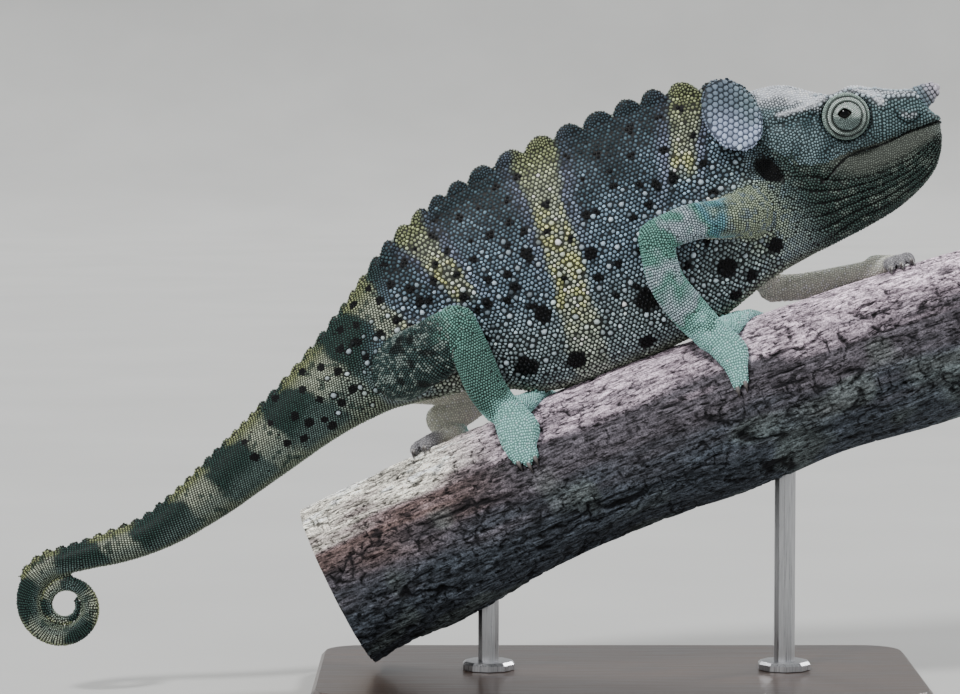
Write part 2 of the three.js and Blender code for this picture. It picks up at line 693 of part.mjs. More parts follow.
place("head", skull().subtract(eyesClear).subtract(hornClear), "head");
place("horn", horn(), "horn");
place("eye_right", eyeball(-1), "eye");
place("eye_left", eyeball(1), "eye");
for (const side of ["right", "left"])
  place(`lobe_${side}`, lobes[side].subtract(skullClear).subtract(bodyClear), "head");

const BODY_PARTS = [
  ["lower_jaw", JAW, THROAT, 7, "throat"],
  ["throat", THROAT, NECK, 3, "throat"],
  ["neck", NECK, SHOULDER, 4, "flank"],
  ["trunk_front", SHOULDER, WAIST, 6, "flank"],
  ["trunk_rear", WAIST, VENT, 7, "flank"],
  ["tail_1", VENT, TAIL_2, 4, "tail"],
  ["tail_2", TAIL_2, TAIL_3, 4, "tail"],
  ["tail_3", TAIL_3, TAIL_4, 4, "tail"],
  ["tail_4", TAIL_4, COIL_START, 3, "tail"],
  ["tail_coil_outer", COIL_START, COIL_MIDDLE, 14, "tail"],
  ["tail_coil_inner", COIL_MIDDLE, SPINE_END, 12, "tail"],
];
for (const [name, from, to, steps, material] of BODY_PARTS) {
  const sides = from >= VENT ? TAIL_SIDES : BODY_SIDES;
  let part = bodyPart(from, to, sides, steps);
  if (from < SHOULDER) part = part.subtract(skullClear).subtract(eyesClear);
  if (from >= NECK && from < VENT) part = part.subtract(barkClear);
  place(name, part, material);
}

const FOOT_OF = { front: "hand", hind: "foot" };
for (const [name, limb] of Object.entries(LIMBS)) {
  const foot = FEET[name];
  const [pair, sideName] = name.split("_");
  const upper = limbPart(limb, "upper").subtract(bodyClear);
  const lower = limbPart(limb, "lower").subtract(bodyClear).subtract(barkClear);
  place(`${pair === "front" ? "upper_arm" : "thigh"}_${sideName}`, upper.subtract(barkClear), "limb");
  place(`${pair === "front" ? "forearm" : "shin"}_${sideName}`, lower, "limb");
  const sole = footSolid(foot, limb.side).subtract(limbPart(limb, "lower", GAP)).subtract(barkClear);
  place(`${FOOT_OF[pair]}_${sideName}`, sole.subtract(bodyClear), "limb");
  toesOf(foot).forEach((toe, i) => place(`claw_${pair}_${sideName}_${i + 1}`, claw(toe, limb.side), "claw"));
}

// The origin is the middle of the model's box, on the surface that the stand's base rests on.
const box = new THREE.Box3().setFromObject(model);
model.position.set(-(box.min.x + box.max.x) / 2, -(box.min.y + box.max.y) / 2, -box.min.z);

export default model;
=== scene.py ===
"""A life-size giant one-horned chameleon on a cut branch with a display stand: skin, scales, bark and light.

Drawing units are millimetres on the CAD source's own axes: +X to the head, the right side to -Y, and +Z up.
mesh_of() turns them into the frame's metres. The skin is the smooth union of lofts through the CAD's
sections. The scales are small domes packed on the skin. Skin and scales take their colours from one set of
markings.
"""

import math

import bpy
import numpy as np
import openvdb
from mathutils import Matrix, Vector
from mathutils.bvhtree import BVHTree
from mathutils.kdtree import KDTree


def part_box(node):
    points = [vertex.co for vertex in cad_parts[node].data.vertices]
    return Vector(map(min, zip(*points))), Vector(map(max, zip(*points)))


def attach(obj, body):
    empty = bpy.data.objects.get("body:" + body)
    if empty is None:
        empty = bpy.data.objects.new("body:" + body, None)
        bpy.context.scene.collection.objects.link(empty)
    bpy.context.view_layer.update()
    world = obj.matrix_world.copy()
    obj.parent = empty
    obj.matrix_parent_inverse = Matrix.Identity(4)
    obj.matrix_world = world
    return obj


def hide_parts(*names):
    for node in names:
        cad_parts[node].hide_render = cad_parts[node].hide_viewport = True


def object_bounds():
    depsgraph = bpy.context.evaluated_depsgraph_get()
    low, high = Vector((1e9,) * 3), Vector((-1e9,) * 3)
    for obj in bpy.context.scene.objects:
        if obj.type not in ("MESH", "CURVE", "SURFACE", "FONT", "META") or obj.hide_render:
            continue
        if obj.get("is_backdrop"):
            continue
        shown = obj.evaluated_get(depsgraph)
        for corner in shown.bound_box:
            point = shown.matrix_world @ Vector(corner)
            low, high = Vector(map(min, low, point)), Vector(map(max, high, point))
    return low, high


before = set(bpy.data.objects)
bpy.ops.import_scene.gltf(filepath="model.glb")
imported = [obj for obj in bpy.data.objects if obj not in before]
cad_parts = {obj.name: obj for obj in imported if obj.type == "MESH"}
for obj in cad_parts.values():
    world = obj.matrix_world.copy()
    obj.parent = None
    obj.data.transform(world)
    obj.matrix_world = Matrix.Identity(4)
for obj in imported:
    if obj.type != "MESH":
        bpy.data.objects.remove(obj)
CAD_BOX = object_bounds()
MM = 0.001
RNG = np.random.default_rng(7)
SIDES = {"right": -1, "left": 1}

# ---- Sizes, in millimetres ----

CELL = 0.7  # of the grid that the skin is made in
BAND = 8  # cells on each side of a surface where that grid knows its distance
COAT = 0.35  # depth of the scales over the skin
EYE = {"x": 128.6, "y": 9.6, "z": 215.5, "radius": 8.5, "depth": 8.4}
EYE_SIZE = np.array([EYE["radius"], EYE["depth"], EYE["radius"]])
LOBE = {
    "x": 86.6, "y": 16.2, "z": 216, "length": 11.2, "height": 14.3, "thickness": 2.4,
    "tilt": 25, "lean": 14, "flare": 14,
}
HORN = {
    "base": (154.4, 220.6), "tip": (163.5, 226.3), "tip_radius": 1.6,
    "flatness": 0.85, "lift": 0.5, "ripple": 0.12,
}
# The horn's radii: share of the way from its base to its tip, radius there.
HORN_RADII = [(-0.15, 4.8), (0.3, 4.4), (0.62, 3.5), (0.85, 2.4)]
# The horn's scales: their size, the last station of their lattice, and the share of the horn that they cover.
HORN_SCALES = {"size": 1.7, "to": 3.4, "cover": 0.88}
# The crest: half-thickness, depth of its root in the back, station that it starts at, what its scales add to
# a lobe's height, how much the lobes swell, the height from which they have their full thickness, and its
# steps.
CREST = {"thickness": 2.6, "root": 4, "nape": 7.2, "coat": 0.4, "swell": 1.05, "full": 3.5, "steps": 2400}
BRANCH = {"x": 49.5, "z": 92, "slope": 22, "bend": 1500, "radius": 29, "from": -119, "to": 139.5}
RIDGE = {"height": 0.7, "spread": 0.25}
# A claw starts at a number of its toe's radii past the toe's last row.
CLAW = {"start": 0.8, "length": 2.8, "radius": 0.95, "tip": 0.18, "flatness": 0.85, "lift": 0.4, "bend": 1.5}

# Body sections from chin to tail: top x, z; bottom x, z; half-width; how much the top and the bottom narrow.
BODY = [
    (164.2, 213.2, 165.4, 207.5, 2.2, 0, 0.3),
    (159.5, 212, 165, 202.6, 4.6, 0, 0.35),
    (150, 209.4, 163, 196, 7.4, 0, 0.4),
    (139, 206.5, 157.5, 188.6, 9.8, 0, 0.42),
    (127, 204.5, 149, 181.2, 11.8, 0, 0.42),
    (116, 207.5, 139, 175.1, 12.8, 0.05, 0.4),
    (104, 215.5, 128, 169.3, 13.4, 0.2, 0.36),
    (90, 221.5, 115, 162.7, 14.2, 0.35, 0.3),
    (76, 224, 102, 155, 15.6, 0.45, 0.22),
    (63.5, 222, 89, 144.6, 18, 0.5, 0.14),
    (48.5, 216.6, 76, 135.4, 20.2, 0.5, 0.08),
    (33.5, 210.5, 61.5, 128.4, 21.6, 0.5, 0.06),
    (19, 204.2, 46.5, 122.5, 22, 0.5, 0.06),
    (4, 197, 32, 116.7, 21.8, 0.5, 0.06),
    (-9, 190, 19, 113.8, 21, 0.5, 0.08),
    (-20, 183.2, 6.5, 114.6, 19.4, 0.48, 0.1),
    (-29, 176.2, -6, 114.8, 17.4, 0.45, 0.12),
    (-37.5, 168.4, -20, 111.6, 14.8, 0.4, 0.14),
    (-44.7, 159.6, -33, 108.6, 12.4, 0.35, 0.15),
    (-51.8, 149.5, -42.5, 104.8, 10.8, 0.3, 0.15),
    (-59.8, 138.6, -52.5, 99.6, 9.6, 0.3, 0.15),
    (-68.3, 127.6, -62.5, 93.4, 8.6, 0.28, 0.15),
    (-76.8, 117.8, -71.5, 87, 7.9, 0.25, 0.12),
    (-85.3, 108.8, -80, 81, 7.3, 0.22, 0.1),
    (-93.8, 99.8, -88.5, 75, 6.7, 0.2, 0.1),
    (-103, 90.8, -97, 69, 6.2, 0.18, 0.08),
    (-112, 81.6, -106, 63.4, 5.7, 0.16, 0.06),
    (-121, 73.2, -115.8, 57.8, 5.2, 0.14, 0.05),
    (-130.5, 66, -126.6, 53.2, 4.8, 0.12, 0.04),
    (-140.3, 61.8, -137.6, 49.8, 4.4, 0.1, 0.03),
    (-149.7, 58.4, -148.2, 47.7, 4.1, 0.08, 0.02),
]
# The tail's end is a spiral. Its radius and height follow powers of the turns made, from power 0 up.
COIL = {
    "x": -159.5, "z": 34, "start": -0.25, "end": 1.6, "steps": 34,
    "radius": (13.7, -9.25, 2.13), "height": (8.9, -4.25), "flatness": 0.39, "narrowing": (0.08, 0.02),
}

# Skull sections from the nape to the snout, in BODY's form, and how far the ridge over the eye stands out.
SKULL = [
    (92.5, 224, 101, 198, 11.5, 0.3, 0.1, 0.04),
    (100.5, 226.4, 109.3, 193.6, 14, 0.42, 0.05, 0.08),
    (108, 226.8, 117, 191.6, 15.2, 0.45, 0.05, 0.1),
    (116, 224.8, 123.2, 193.4, 14.6, 0.42, 0.05, 0.12),
    (123.5, 223.6, 128.4, 198.2, 12.4, 0.3, 0.05, 0.2),
    (131.5, 226.8, 134.8, 201.8, 10.6, 0.2, 0.02, 0.26),
    (140, 225.8, 141.8, 204.6, 9.2, 0.2, 0, 0.26),
    (148.5, 225.4, 149.2, 208.2, 7.8, 0.22, 0, 0.2),
    (155, 225, 156.4, 211, 6.4, 0.2, 0, 0.12),
    (159, 219.8, 161.2, 212.8, 4.6, 0.1, 0, 0),
    (161.6, 217, 164.4, 213, 3, 0, 0, 0),
    (164.2, 215.6, 165.4, 213.4, 1.4, 0, 0, 0),
]

# Crest lobes: distance along the back from the nape, spacing there, height there.
CREST_SIZES = [
    (0, 10.4, 4.4),
    (16, 13, 4.6),
    (32, 9.8, 4.8),
    (50, 12.4, 4.5),
    (66, 10.8, 4.5),
    (80, 13, 4.8),
    (96, 11.8, 4.6),
    (106, 9.8, 4.2),
    (114, 8, 3.6),
    (126, 9, 3.2),
    (148, 7.4, 2.8),
    (155, 9.4, 2.7),
    (162, 5, 2.2),
    (172, 6.4, 2.2),
    (188, 8, 2.3),
    (200, 6.6, 2.1),
    (217, 6, 1.9),
    (222, 4.4, 1.8),
    (250, 5, 1.7),
    (320, 5, 1.3),
    (345, 4.6, 1),
]

# Limbs: x, y, z, radius in the plane of the body, radius across it. y is outwards.
LIMBS = {
    "front_right": {
        "side": -1,
        "upper": [
            (93.5, 12.5, 180.5, 8.4, 7.4),
            (84, 17.5, 178.6, 6.9, 6.4),
            (71, 21.5, 177, 6.7, 5.8),
            (58.4, 24, 171.8, 6.4, 5.7),
        ],
        "lower": [
            (58.4, 24, 171.8, 6.4, 5.7),
            (62, 25, 157, 6.7, 5.8),
            (69.6, 25, 146.2, 7, 5.8),
            (78.6, 23, 136.8, 6.4, 5.2),
        ],
    },
    "hind_right": {
        "side": -1,
        "upper": [
            (-35.3, 9, 121.1, 10.4, 8),
            (-29, 14.5, 126, 11.2, 8),
            (-22.5, 19, 130.5, 11.4, 7.6),
            (-17, 21.6, 136.5, 9.4, 6.8),
            (-13.6, 23, 140.8, 7, 5.8),
        ],
        "lower": [
            (-13.6, 23, 140.8, 7, 5.8),
            (-8, 24, 128.8, 7.2, 5.8),
            (-3.2, 23.4, 117.4, 7.2, 5.6),
            (2.2, 21, 109.6, 6.8, 5.2),
        ],
    },
    "front_left": {
        "side": 1,
        "upper": [
            (91, 12, 174, 8, 7),
            (97, 19, 162.6, 6.6, 6),
            (105, 26, 150.6, 5.2, 5),
        ],
        "lower": [
            (105, 26, 150.6, 5.2, 5),
            (115, 24.4, 151.2, 5.2, 4.8),
            (125.2, 21.6, 153.4, 4.9, 4.6),
            (142.2, 14, 158.4, 3.8, 3.7),
        ],
    },
    "hind_left": {
        "side": 1,
        "upper": [
            (-33, 8.5, 119, 10.5, 7.6),
            (-20, 17, 117.4, 10.5, 7.2),
            (-5, 25, 111.5, 7.4, 6.6),
        ],
        "lower": [
            (-5, 25, 111.5, 7.4, 6.6),
            (-12.5, 21.6, 105.8, 7.2, 6),
            (-20, 17.5, 101.2, 6.2, 5.4),
        ],
    },
}

# Toes: distance along the branch, degrees round it from its top to the foot's outer side, height over the
# bark, and radius.
FEET = {
    "front_right": {
        "ankle": (43.2, 36.5, 9, 5.6),
        "outer": [
            [(45.8, 50, 4.4, 4.2), (45.9, 60, 2.3, 2.7), (45.2, 70, 1.5, 1.7)],
            [(49.4, 46, 4.2, 4.4), (48.9, 59, 2.3, 2.6), (48.4, 68.5, 1.5, 1.7)],
        ],
        "inner": [
            [(48.6, 16, 3.4, 3.4), (52.6, -8, 2, 2.5), (56, -33, 1.5, 1.7)],
            [(49.8, 20, 3.6, 3.4), (55.6, -4, 2.2, 2.6), (60, -30, 1.5, 1.7)],
            [(50.4, 26, 3.4, 3.2), (58, 2, 2, 2.4), (63.4, -22, 1.5, 1.6)],
        ],
    },
    "hind_right": {
        "ankle": (-35, 32, 9.4, 5.4),
        "outer": [
            [(-37.4, 46, 4.4, 4.2), (-38.4, 54, 2.8, 2.9), (-38.2, 61.5, 1.7, 1.9)],
            [(-34.4, 48, 4.6, 4.2), (-35.3, 57, 2.8, 2.9), (-35, 65.5, 1.7, 1.9)],
            [(-30.4, 44, 4.4, 4.7), (-31.9, 55, 2.6, 2.8), (-31.9, 63, 1.7, 1.9)],
        ],
        "inner": [
            [(-29.5, 14, 3.6, 3.6), (-25, -8, 2.2, 2.7), (-21.6, -32, 1.6, 1.8)],
            [(-28.4, 20, 3.6, 3.4), (-21.8, -1, 2.2, 2.6), (-17.4, -24, 1.6, 1.8)],
        ],
    },
    "front_left": {
        "ankle": (109.4, 25, 5.4, 4.2),
        "outer": [
            [(113, 44, 3, 3), (114, 58, 2, 2.3), (113.6, 72, 1.4, 1.6)],
            [(116.4, 43, 3, 3), (117.8, 57, 2, 2.3), (117.6, 71, 1.4, 1.6)],
        ],
        "inner": [
            [(113, 12, 3.4, 2.8), (113.4, 2, 2.8, 2.2), (112.8, -7, 1.6, 1.6)],
            [(115.4, 13, 3.6, 2.8), (117, 3, 3, 2.2), (116.8, -6, 1.6, 1.6)],
            [(117.2, 16, 3.6, 2.6), (120.4, 6, 3.2, 2.2), (120.8, -3, 1.6, 1.6)],
        ],
    },
    "hind_left": {
        "ankle": (-57, 31, 6.6, 4.8),
        "outer": [
            [(-61.4, 47, 3.6, 3.6), (-63.4, 60, 2.2, 2.6), (-63.8, 72, 1.6, 1.8)],
            [(-57.8, 48, 3.6, 3.6), (-59.6, 62, 2.2, 2.6), (-60, 75, 1.6, 1.8)],
            [(-54.2, 47, 3.4, 3.4), (-55.8, 61, 2.2, 2.5), (-56.2, 74, 1.6, 1.8)],
        ],
        "inner": [
            [(-64, 18, 3.2, 3.2), (-70.6, 8, 2.6, 2.4), (-72, -3, 1.7, 1.7)],
            [(-61.6, 16, 3.2, 3.2), (-66.6, 5, 2.8, 2.5), (-67.8, -6, 1.7, 1.7)],
        ],
    },
}

# ---- Curves and lofts ----


def along(rows, t):
    """The smooth curve through a table's rows at positions t, column by column (Catmull-Rom)."""
    rows = np.asarray(rows, float)
    t = np.asarray(t, float)
    i = np.clip(np.floor(t).astype(int), 0, len(rows) - 2)
    f = (t - i)[..., None]
    a, b, c, d = (rows[np.clip(i + k, 0, len(rows) - 1)] for k in (-1, 0, 1, 2))
    return b + 0.5 * f * (c - a + f * (2 * a - 5 * b + 4 * c - d + f * (3 * (b - c) + d - a)))


def smooth_step(low, high, x):
    f = np.clip((x - low) / (high - low), 0, 1)
    return f * f * (3 - 2 * f)


def bell(x, width):
    return np.exp(-((x / width) ** 2))


def unit(vectors):
    return vectors / np.maximum(np.linalg.norm(vectors, axis=-1, keepdims=True), 1e-9)


def turned(points, degrees, axis):
    """Points turned about one of the axes 0, 1 or 2 through the origin."""
    angle = math.radians(degrees)
    j, k = [(1, 2), (2, 0), (0, 1)][axis]
    result = points.copy()
    result[..., j] = points[..., j] * math.cos(angle) - points[..., k] * math.sin(angle)
    result[..., k] = points[..., j] * math.sin(angle) + points[..., k] * math.cos(angle)
    return result


def grid_quads(rows, columns, closed=False):
    """The quads of a grid of points numbered row by row. In a closed grid the last column meets the first."""
    wide = columns if closed else columns - 1
    i, j = np.divmod(np.arange((rows - 1) * wide), wide)
    after = (j + 1) % columns
    corners = (i, j), (i + 1, j), (i + 1, after), (i, after)
    return np.stack([row * columns + column for row, column in corners], -1)


class Loft:
    """A closed tube: points[i, j] is column j of station i, and the last column is the first one again."""

    def __init__(self, name, points, stations):
        self.name = name
        self.points = points
        self.stations = np.asarray(stations, float)
        centres = points[:, :-1].mean(1)
        self.along = np.append(0, np.cumsum(np.linalg.norm(np.diff(centres, axis=0), axis=1)))
        steps = np.linalg.norm(np.diff(points, axis=1), axis=2)
        self.girth = steps.sum(1)
        self.around = np.append(np.zeros((len(points), 1)), np.cumsum(steps, axis=1), axis=1)
        self.around /= np.maximum(self.girth, 1e-6)[:, None]

    def mesh(self):
        """All points, with a middle point for each end, and the quads and triangles that close them."""
        rows, columns = self.points.shape[:2]
        count = rows * columns
        j = np.arange(columns - 1)
        first = np.stack([np.full_like(j, count), j, j + 1], -1)
        last = np.stack([np.full_like(j, count + 1), count - columns + j + 1, count - columns + j], -1)
        ends = self.points[[0, -1], :-1].mean(1)
        points = np.vstack([self.points.reshape(-1, 3), ends])
        return points, grid_quads(rows, columns), np.vstack([first, last])

    def at(self, row, share):
        """The point at fractional row numbers and shares of the way round the girth."""
        row = np.clip(row, 0, len(self.points) - 1.001)
        i = row.astype(int)
        f = (row - i)[:, None]
        ends = []
        for k in (i, i + 1):
            around = self.around[k]
            j = np.clip((around <= share[:, None]).sum(1) - 1, 0, around.shape[1] - 2)
            low, high = around[np.arange(len(j)), j], around[np.arange(len(j)), j + 1]
            g = ((share - low) / np.maximum(high - low, 1e-9))[:, None]
            ends.append(self.points[k, j] * (1 - g) + self.points[k, j + 1] * g)
        return ends[0] * (1 - f) + ends[1] * f


def ring_angles(columns):
    return np.linspace(0, 2 * math.pi, columns + 1)


def section(rows, columns):
    """Sections of the body or skull, tall eggs that narrow by the given shares at the top and bottom."""
    top, bottom = rows[:, None, 0:2], rows[:, None, 2:4]
    width, narrow_top, narrow_bottom = (rows[:, None, k] for k in (4, 5, 6))
    ridge = rows[:, None, 7] if rows.shape[1] > 7 else 0
    angle = ring_angles(columns)[None]
    up = np.cos(angle)
    share = (up + 1) / 2
    narrowing = 1 - narrow_top * share**1.5 - narrow_bottom * (1 - share) ** 1.5
    ridging = 1 + ridge * bell(up - RIDGE["height"], RIDGE["spread"])
    side = width * np.sin(angle) * narrowing * ridging
    upright = (top + bottom) / 2 + up[..., None] * (top - bottom) / 2
    return np.stack([upright[..., 0], side, upright[..., 1]], -1)


def tube(name, rows, columns=40, steps_per_row=14, across=(0, 1, 0)):
    """A tube with round ends through rows of x, y, z, radius in the plane of y = 0, radius across it."""
    rows = np.asarray(rows, float)
    if rows.shape[1] == 4:
        rows = np.hstack([rows, rows[:, 3:4]])
    last = len(rows) - 1
    t = np.linspace(0, last, last * steps_per_row + 1)
    caps = np.radians([75, 60, 45, 30, 15])
    t = np.concatenate([np.zeros(len(caps)), t, np.full(len(caps), last)])
    lift = np.concatenate([-np.sin(caps), np.zeros(len(t) - 2 * len(caps)), np.sin(caps[::-1])])
    scale = np.sqrt(1 - lift**2)
    row = along(rows, t)
    step = 0.05
    ahead, behind = along(rows, np.minimum(t + step, last)), along(rows, np.maximum(t - step, 0))
    tangent = unit(ahead[:, :3] - behind[:, :3])
    across = np.asarray(across, float)
    side = unit(across - tangent * (tangent @ across)[:, None])
    up = np.cross(side, tangent)
    middle = row[:, :3] + tangent * (lift * np.minimum(row[:, 3], row[:, 4]))[:, None]
    angle = ring_angles(columns)
    points = (
        middle[:, None]
        + up[:, None] * (row[:, 3] * scale)[:, None, None] * np.cos(angle)[None, :, None]
        + side[:, None] * (row[:, 4] * scale)[:, None, None] * np.sin(angle)[None, :, None]
    )
    return Loft(name, points, t)


def coil_rows():
    """The tail's flat spiral in BODY's form. One turn of it is 1, and it starts a quarter turn before 0."""
    turn = np.linspace(COIL["start"], COIL["end"], COIL["steps"] + 1)
    angle = math.pi * (1 + 2 * turn)
    radius, height = (sum(k * turn**n for n, k in enumerate(COIL[key])) for key in ("radius", "height"))
    outer, inner = radius + height / 2, radius - height / 2
    x = [COIL["x"] + r * np.cos(angle) for r in (outer, inner)]
    z = [COIL["z"] + r * np.sin(angle) for r in (outer, inner)]
    narrowing = (np.full_like(turn, share) for share in COIL["narrowing"])
    return np.stack([x[0], z[0], x[1], z[1], height * COIL["flatness"], *narrowing], -1)


SPINE = np.vstack([BODY, coil_rows()])
# Stations, which are rows of the spine: where the throat meets the neck, where the tail and its coil start,
# and where the crest ends.
NECK_START = 7.4
TAIL_START = 17.6
COIL_START = len(BODY)
CREST_END = COIL_START + 3


def crest_loft():
    """The row of crest lobes along the back, thick at the root and rounded off along its edge."""
    t = np.linspace(CREST["nape"], CREST_END, CREST["steps"])
    row = along(SPINE, t)
    top, bottom = row[:, 0:2], row[:, 2:4]
    step = np.append(0, np.linalg.norm(np.diff(top, axis=0), axis=1))
    start, *sizes = np.array(CREST_SIZES, float).T
    spacing, size = (np.interp(np.cumsum(step), start, column) for column in sizes)
    wave = np.abs(np.sin(math.pi * np.cumsum(step / spacing)))
    rise = (CREST["swell"] * size + CREST["coat"]) * wave**0.5
    angle = ring_angles(28)
    share = (np.cos(angle) + 1) / 2
    height = -CREST["root"] + (rise + CREST["root"])[:, None] * share[None]
    rounded = np.sign(np.sin(angle)) * np.abs(np.sin(angle)) ** 0.6
    half = CREST["thickness"] * rounded * (1.15 - 0.65 * share)
    half = half * (0.6 + 0.4 * smooth_step(0, CREST["full"], size))[:, None]
    upright = top[:, None] + unit(top - bottom)[:, None] * height[..., None]
    side = np.broadcast_to(half, height.shape)
    return Loft("crest", np.stack([upright[..., 0], side, upright[..., 1]], -1), t)


def on_branch(distance, degrees, out, side=-1):
    """Places over the branch: distance along it, degrees from its top to a side, distance from its axis."""
    slope = math.radians(BRANCH["slope"])
    lean = slope - np.asarray(distance, float) / BRANCH["bend"]
    around = np.radians(degrees)
    reach = BRANCH["bend"] + out * np.cos(around)
    x = BRANCH["x"] + BRANCH["bend"] * math.sin(slope) - reach * np.sin(lean)
    z = BRANCH["z"] - BRANCH["bend"] * math.cos(slope) + reach * np.cos(lean)
    return np.stack(np.broadcast_arrays(x, side * out * np.sin(around), z), -1)


def bark_radius(distance, degrees):
    """Old bark is never quite round: slow swellings under its top."""
    around = np.radians(degrees)
    under = (1 - np.cos(around)) / 2
    swelling = 0.7 * np.sin(distance / 17 + 2 * around) + 0.5 * np.sin(distance / 9.5 - around)
    thicker = 0.05 * np.maximum(0, -20 - distance)
    return BRANCH["radius"] + under * (swelling + thicker)


def over_bark(distance, degrees, height, side):
    """A place that far over the bark, on the foot's own side."""
    distance, degrees = np.asarray(distance, float), np.asarray(degrees, float)
    return on_branch(distance, degrees, bark_radius(distance, -side * degrees) + height, side)


def lobe_place(disc, side):
    """Points of a flat disc across Y, brought to where the flap behind a cheek stands."""
    disc = turned(disc * (1, side, 1), -LOBE["tilt"], 1)
    disc = turned(disc, side * LOBE["lean"], 0)
    disc = turned(disc, -side * LOBE["flare"], 2)
    return disc + (LOBE["x"], side * LOBE["y"], LOBE["z"])


def ball(size, polar, columns):
    """Points of a flattened ball, in rings at polar angles round its Y axis."""
    polar = polar[:, None]
    angle = ring_angles(columns)[None]
    return np.stack(np.broadcast_arrays(
        np.sin(polar) * np.cos(angle) * size[0],
        np.cos(polar) * size[1],
        np.sin(polar) * np.sin(angle) * size[2],
    ), -1)


def lobe_loft(side):
    """The flap behind a cheek: a flat disc whose rear edge stands away from the neck."""
    polar = np.linspace(0.04, math.pi - 0.04, 44)
    disc = ball((LOBE["length"], LOBE["thickness"], LOBE["height"]), polar, 72)
    return Loft(f"lobe_{side}", lobe_place(disc, side), polar)


def sectioned(name, rows, steps_per_row):
    """A loft through sections of the body or the skull."""
    last = len(rows) - 1
    stations = np.linspace(0, last, steps_per_row * last + 1)
    return Loft(name, section(along(rows, stations), 96), stations)


def limb_lofts(name):
    limb = LIMBS[name]
    for part in ("upper", "lower"):
        yield tube(f"{name}_{part}", [(x, limb["side"] * y, z, a, b) for x, y, z, a, b in limb[part]])


def toe_rows(foot, toe, side):
    rows = np.array([foot["ankle"], *toe], float)
    places = over_bark(rows[:, 0], rows[:, 1], rows[:, 2], side)
    return np.hstack([places, rows[:, 3:4]])


def branch_line():
    """The branch's direction at its middle."""
    slope = math.radians(BRANCH["slope"])
    return math.cos(slope), 0, math.sin(slope)


def toes_of(name):
    """A foot's toes, numbered from 1, outer ones first."""
    return enumerate(FEET[name]["outer"] + FEET[name]["inner"], 1)


def toe_lofts(name):
    for number, toe in toes_of(name):
        rows = toe_rows(FEET[name], toe, LIMBS[name]["side"])
        yield tube(f"{name}_toe_{number}", rows, columns=24, across=branch_line())


def branch_loft(rows=160, columns=96):
    distance = np.linspace(BRANCH["from"], BRANCH["to"], rows)[:, None]
    degrees = np.degrees(ring_angles(columns))[None]
    return Loft("branch", on_branch(distance, degrees, bark_radius(distance, degrees)), distance[:, 0])


# ---- The field that the skin is made in ----


class Field:
    """Signed distances to the animal's surface on a grid, in millimetres, negative inside."""

    def __init__(self, low, high):
        self.low = np.floor(np.asarray(low) / CELL).astype(int)
        size = np.ceil(np.asarray(high) / CELL).astype(int) - self.low + 1
        self.values = np.full(size, BAND * CELL, np.float32)

    def part(self, loft):
        """The slices of the grid near a loft, and the distances to it there."""
        points, quads, triangles = loft.mesh()
        margin = BAND + 2
        low, high = np.floor(points.min(0) / CELL).astype(int), np.ceil(points.max(0) / CELL).astype(int)
        first = np.maximum(low - margin, self.low)
        last = np.minimum(high + margin, self.low + self.values.shape)
        grid = openvdb.FloatGrid.createLevelSetFromPolygons(
            points.astype(np.float32),
            triangles=triangles.astype(np.uint32),
            quads=quads.astype(np.uint32),
            transform=openvdb.createLinearTransform(voxelSize=CELL),
            halfWidth=float(BAND),
        )
        distances = np.empty(last - first, np.float32)
        grid.copyToArray(distances, ijk=tuple(int(v) for v in first))
        slices = tuple(slice(a, b) for a, b in zip(first - self.low, last - self.low, strict=True))
        return slices, distances

    def add(self, loft, blend):
        """Joins a loft to the surface, with a rounded valley that reaches blend away from their crossing."""
        slices, other = self.part(loft)
        here = self.values[slices]
        share = np.maximum(blend - np.abs(here - other), 0) / blend
        self.values[slices] = np.minimum(here, other) - share * share * blend / 4

    def cut(self, loft, gap):
        """Takes a loft and a gap round it away from the surface."""
        slices, other = self.part(loft)
        self.values[slices] = np.maximum(self.values[slices], gap - other)

    def sample(self, points):
        """The distances at points, between those of the grid."""
        place = np.clip(points / CELL - self.low, 0, np.array(self.values.shape) - 1.001)
        base = place.astype(int)
        f = (place - base).astype(np.float32)
        total = 0
        for corner in np.ndindex(2, 2, 2):
            weight = np.prod([f[:, k] if corner[k] else 1 - f[:, k] for k in range(3)], axis=0)
            total = total + weight * self.values[tuple((base + corner).T)]
        return total

    def surface(self, level):
        """The surface at that level as points and quads."""
        grid = openvdb.FloatGrid(BAND * CELL)
        grid.transform = openvdb.createLinearTransform(voxelSize=CELL)
        grid.copyFromArray(self.values, ijk=tuple(int(v) for v in self.low), tolerance=0.0)
        points, quads = grid.convertToQuads(isovalue=level)
        return points.astype(float), quads.astype(int)


# ---- Places on the skin ----

# How a lattice of scales runs: in lines along a loft, in close-packed rings round it, or in rings that stand
# apart by the spacing, while the scales in a ring are closer together by this share.
LINES = 0
RINGS = 1
TIGHT = 0.8


class Places:
    """Where points lie: loft, station, millimetres along and round the loft, and angle from its top."""

    KEYS = ("owner", "station", "along", "round", "angle")

    def __init__(self, **arrays):
        for key in self.KEYS:
            setattr(self, key, arrays[key])

    def pick(self, which):
        return Places(**{key: getattr(self, key)[which] for key in self.KEYS})


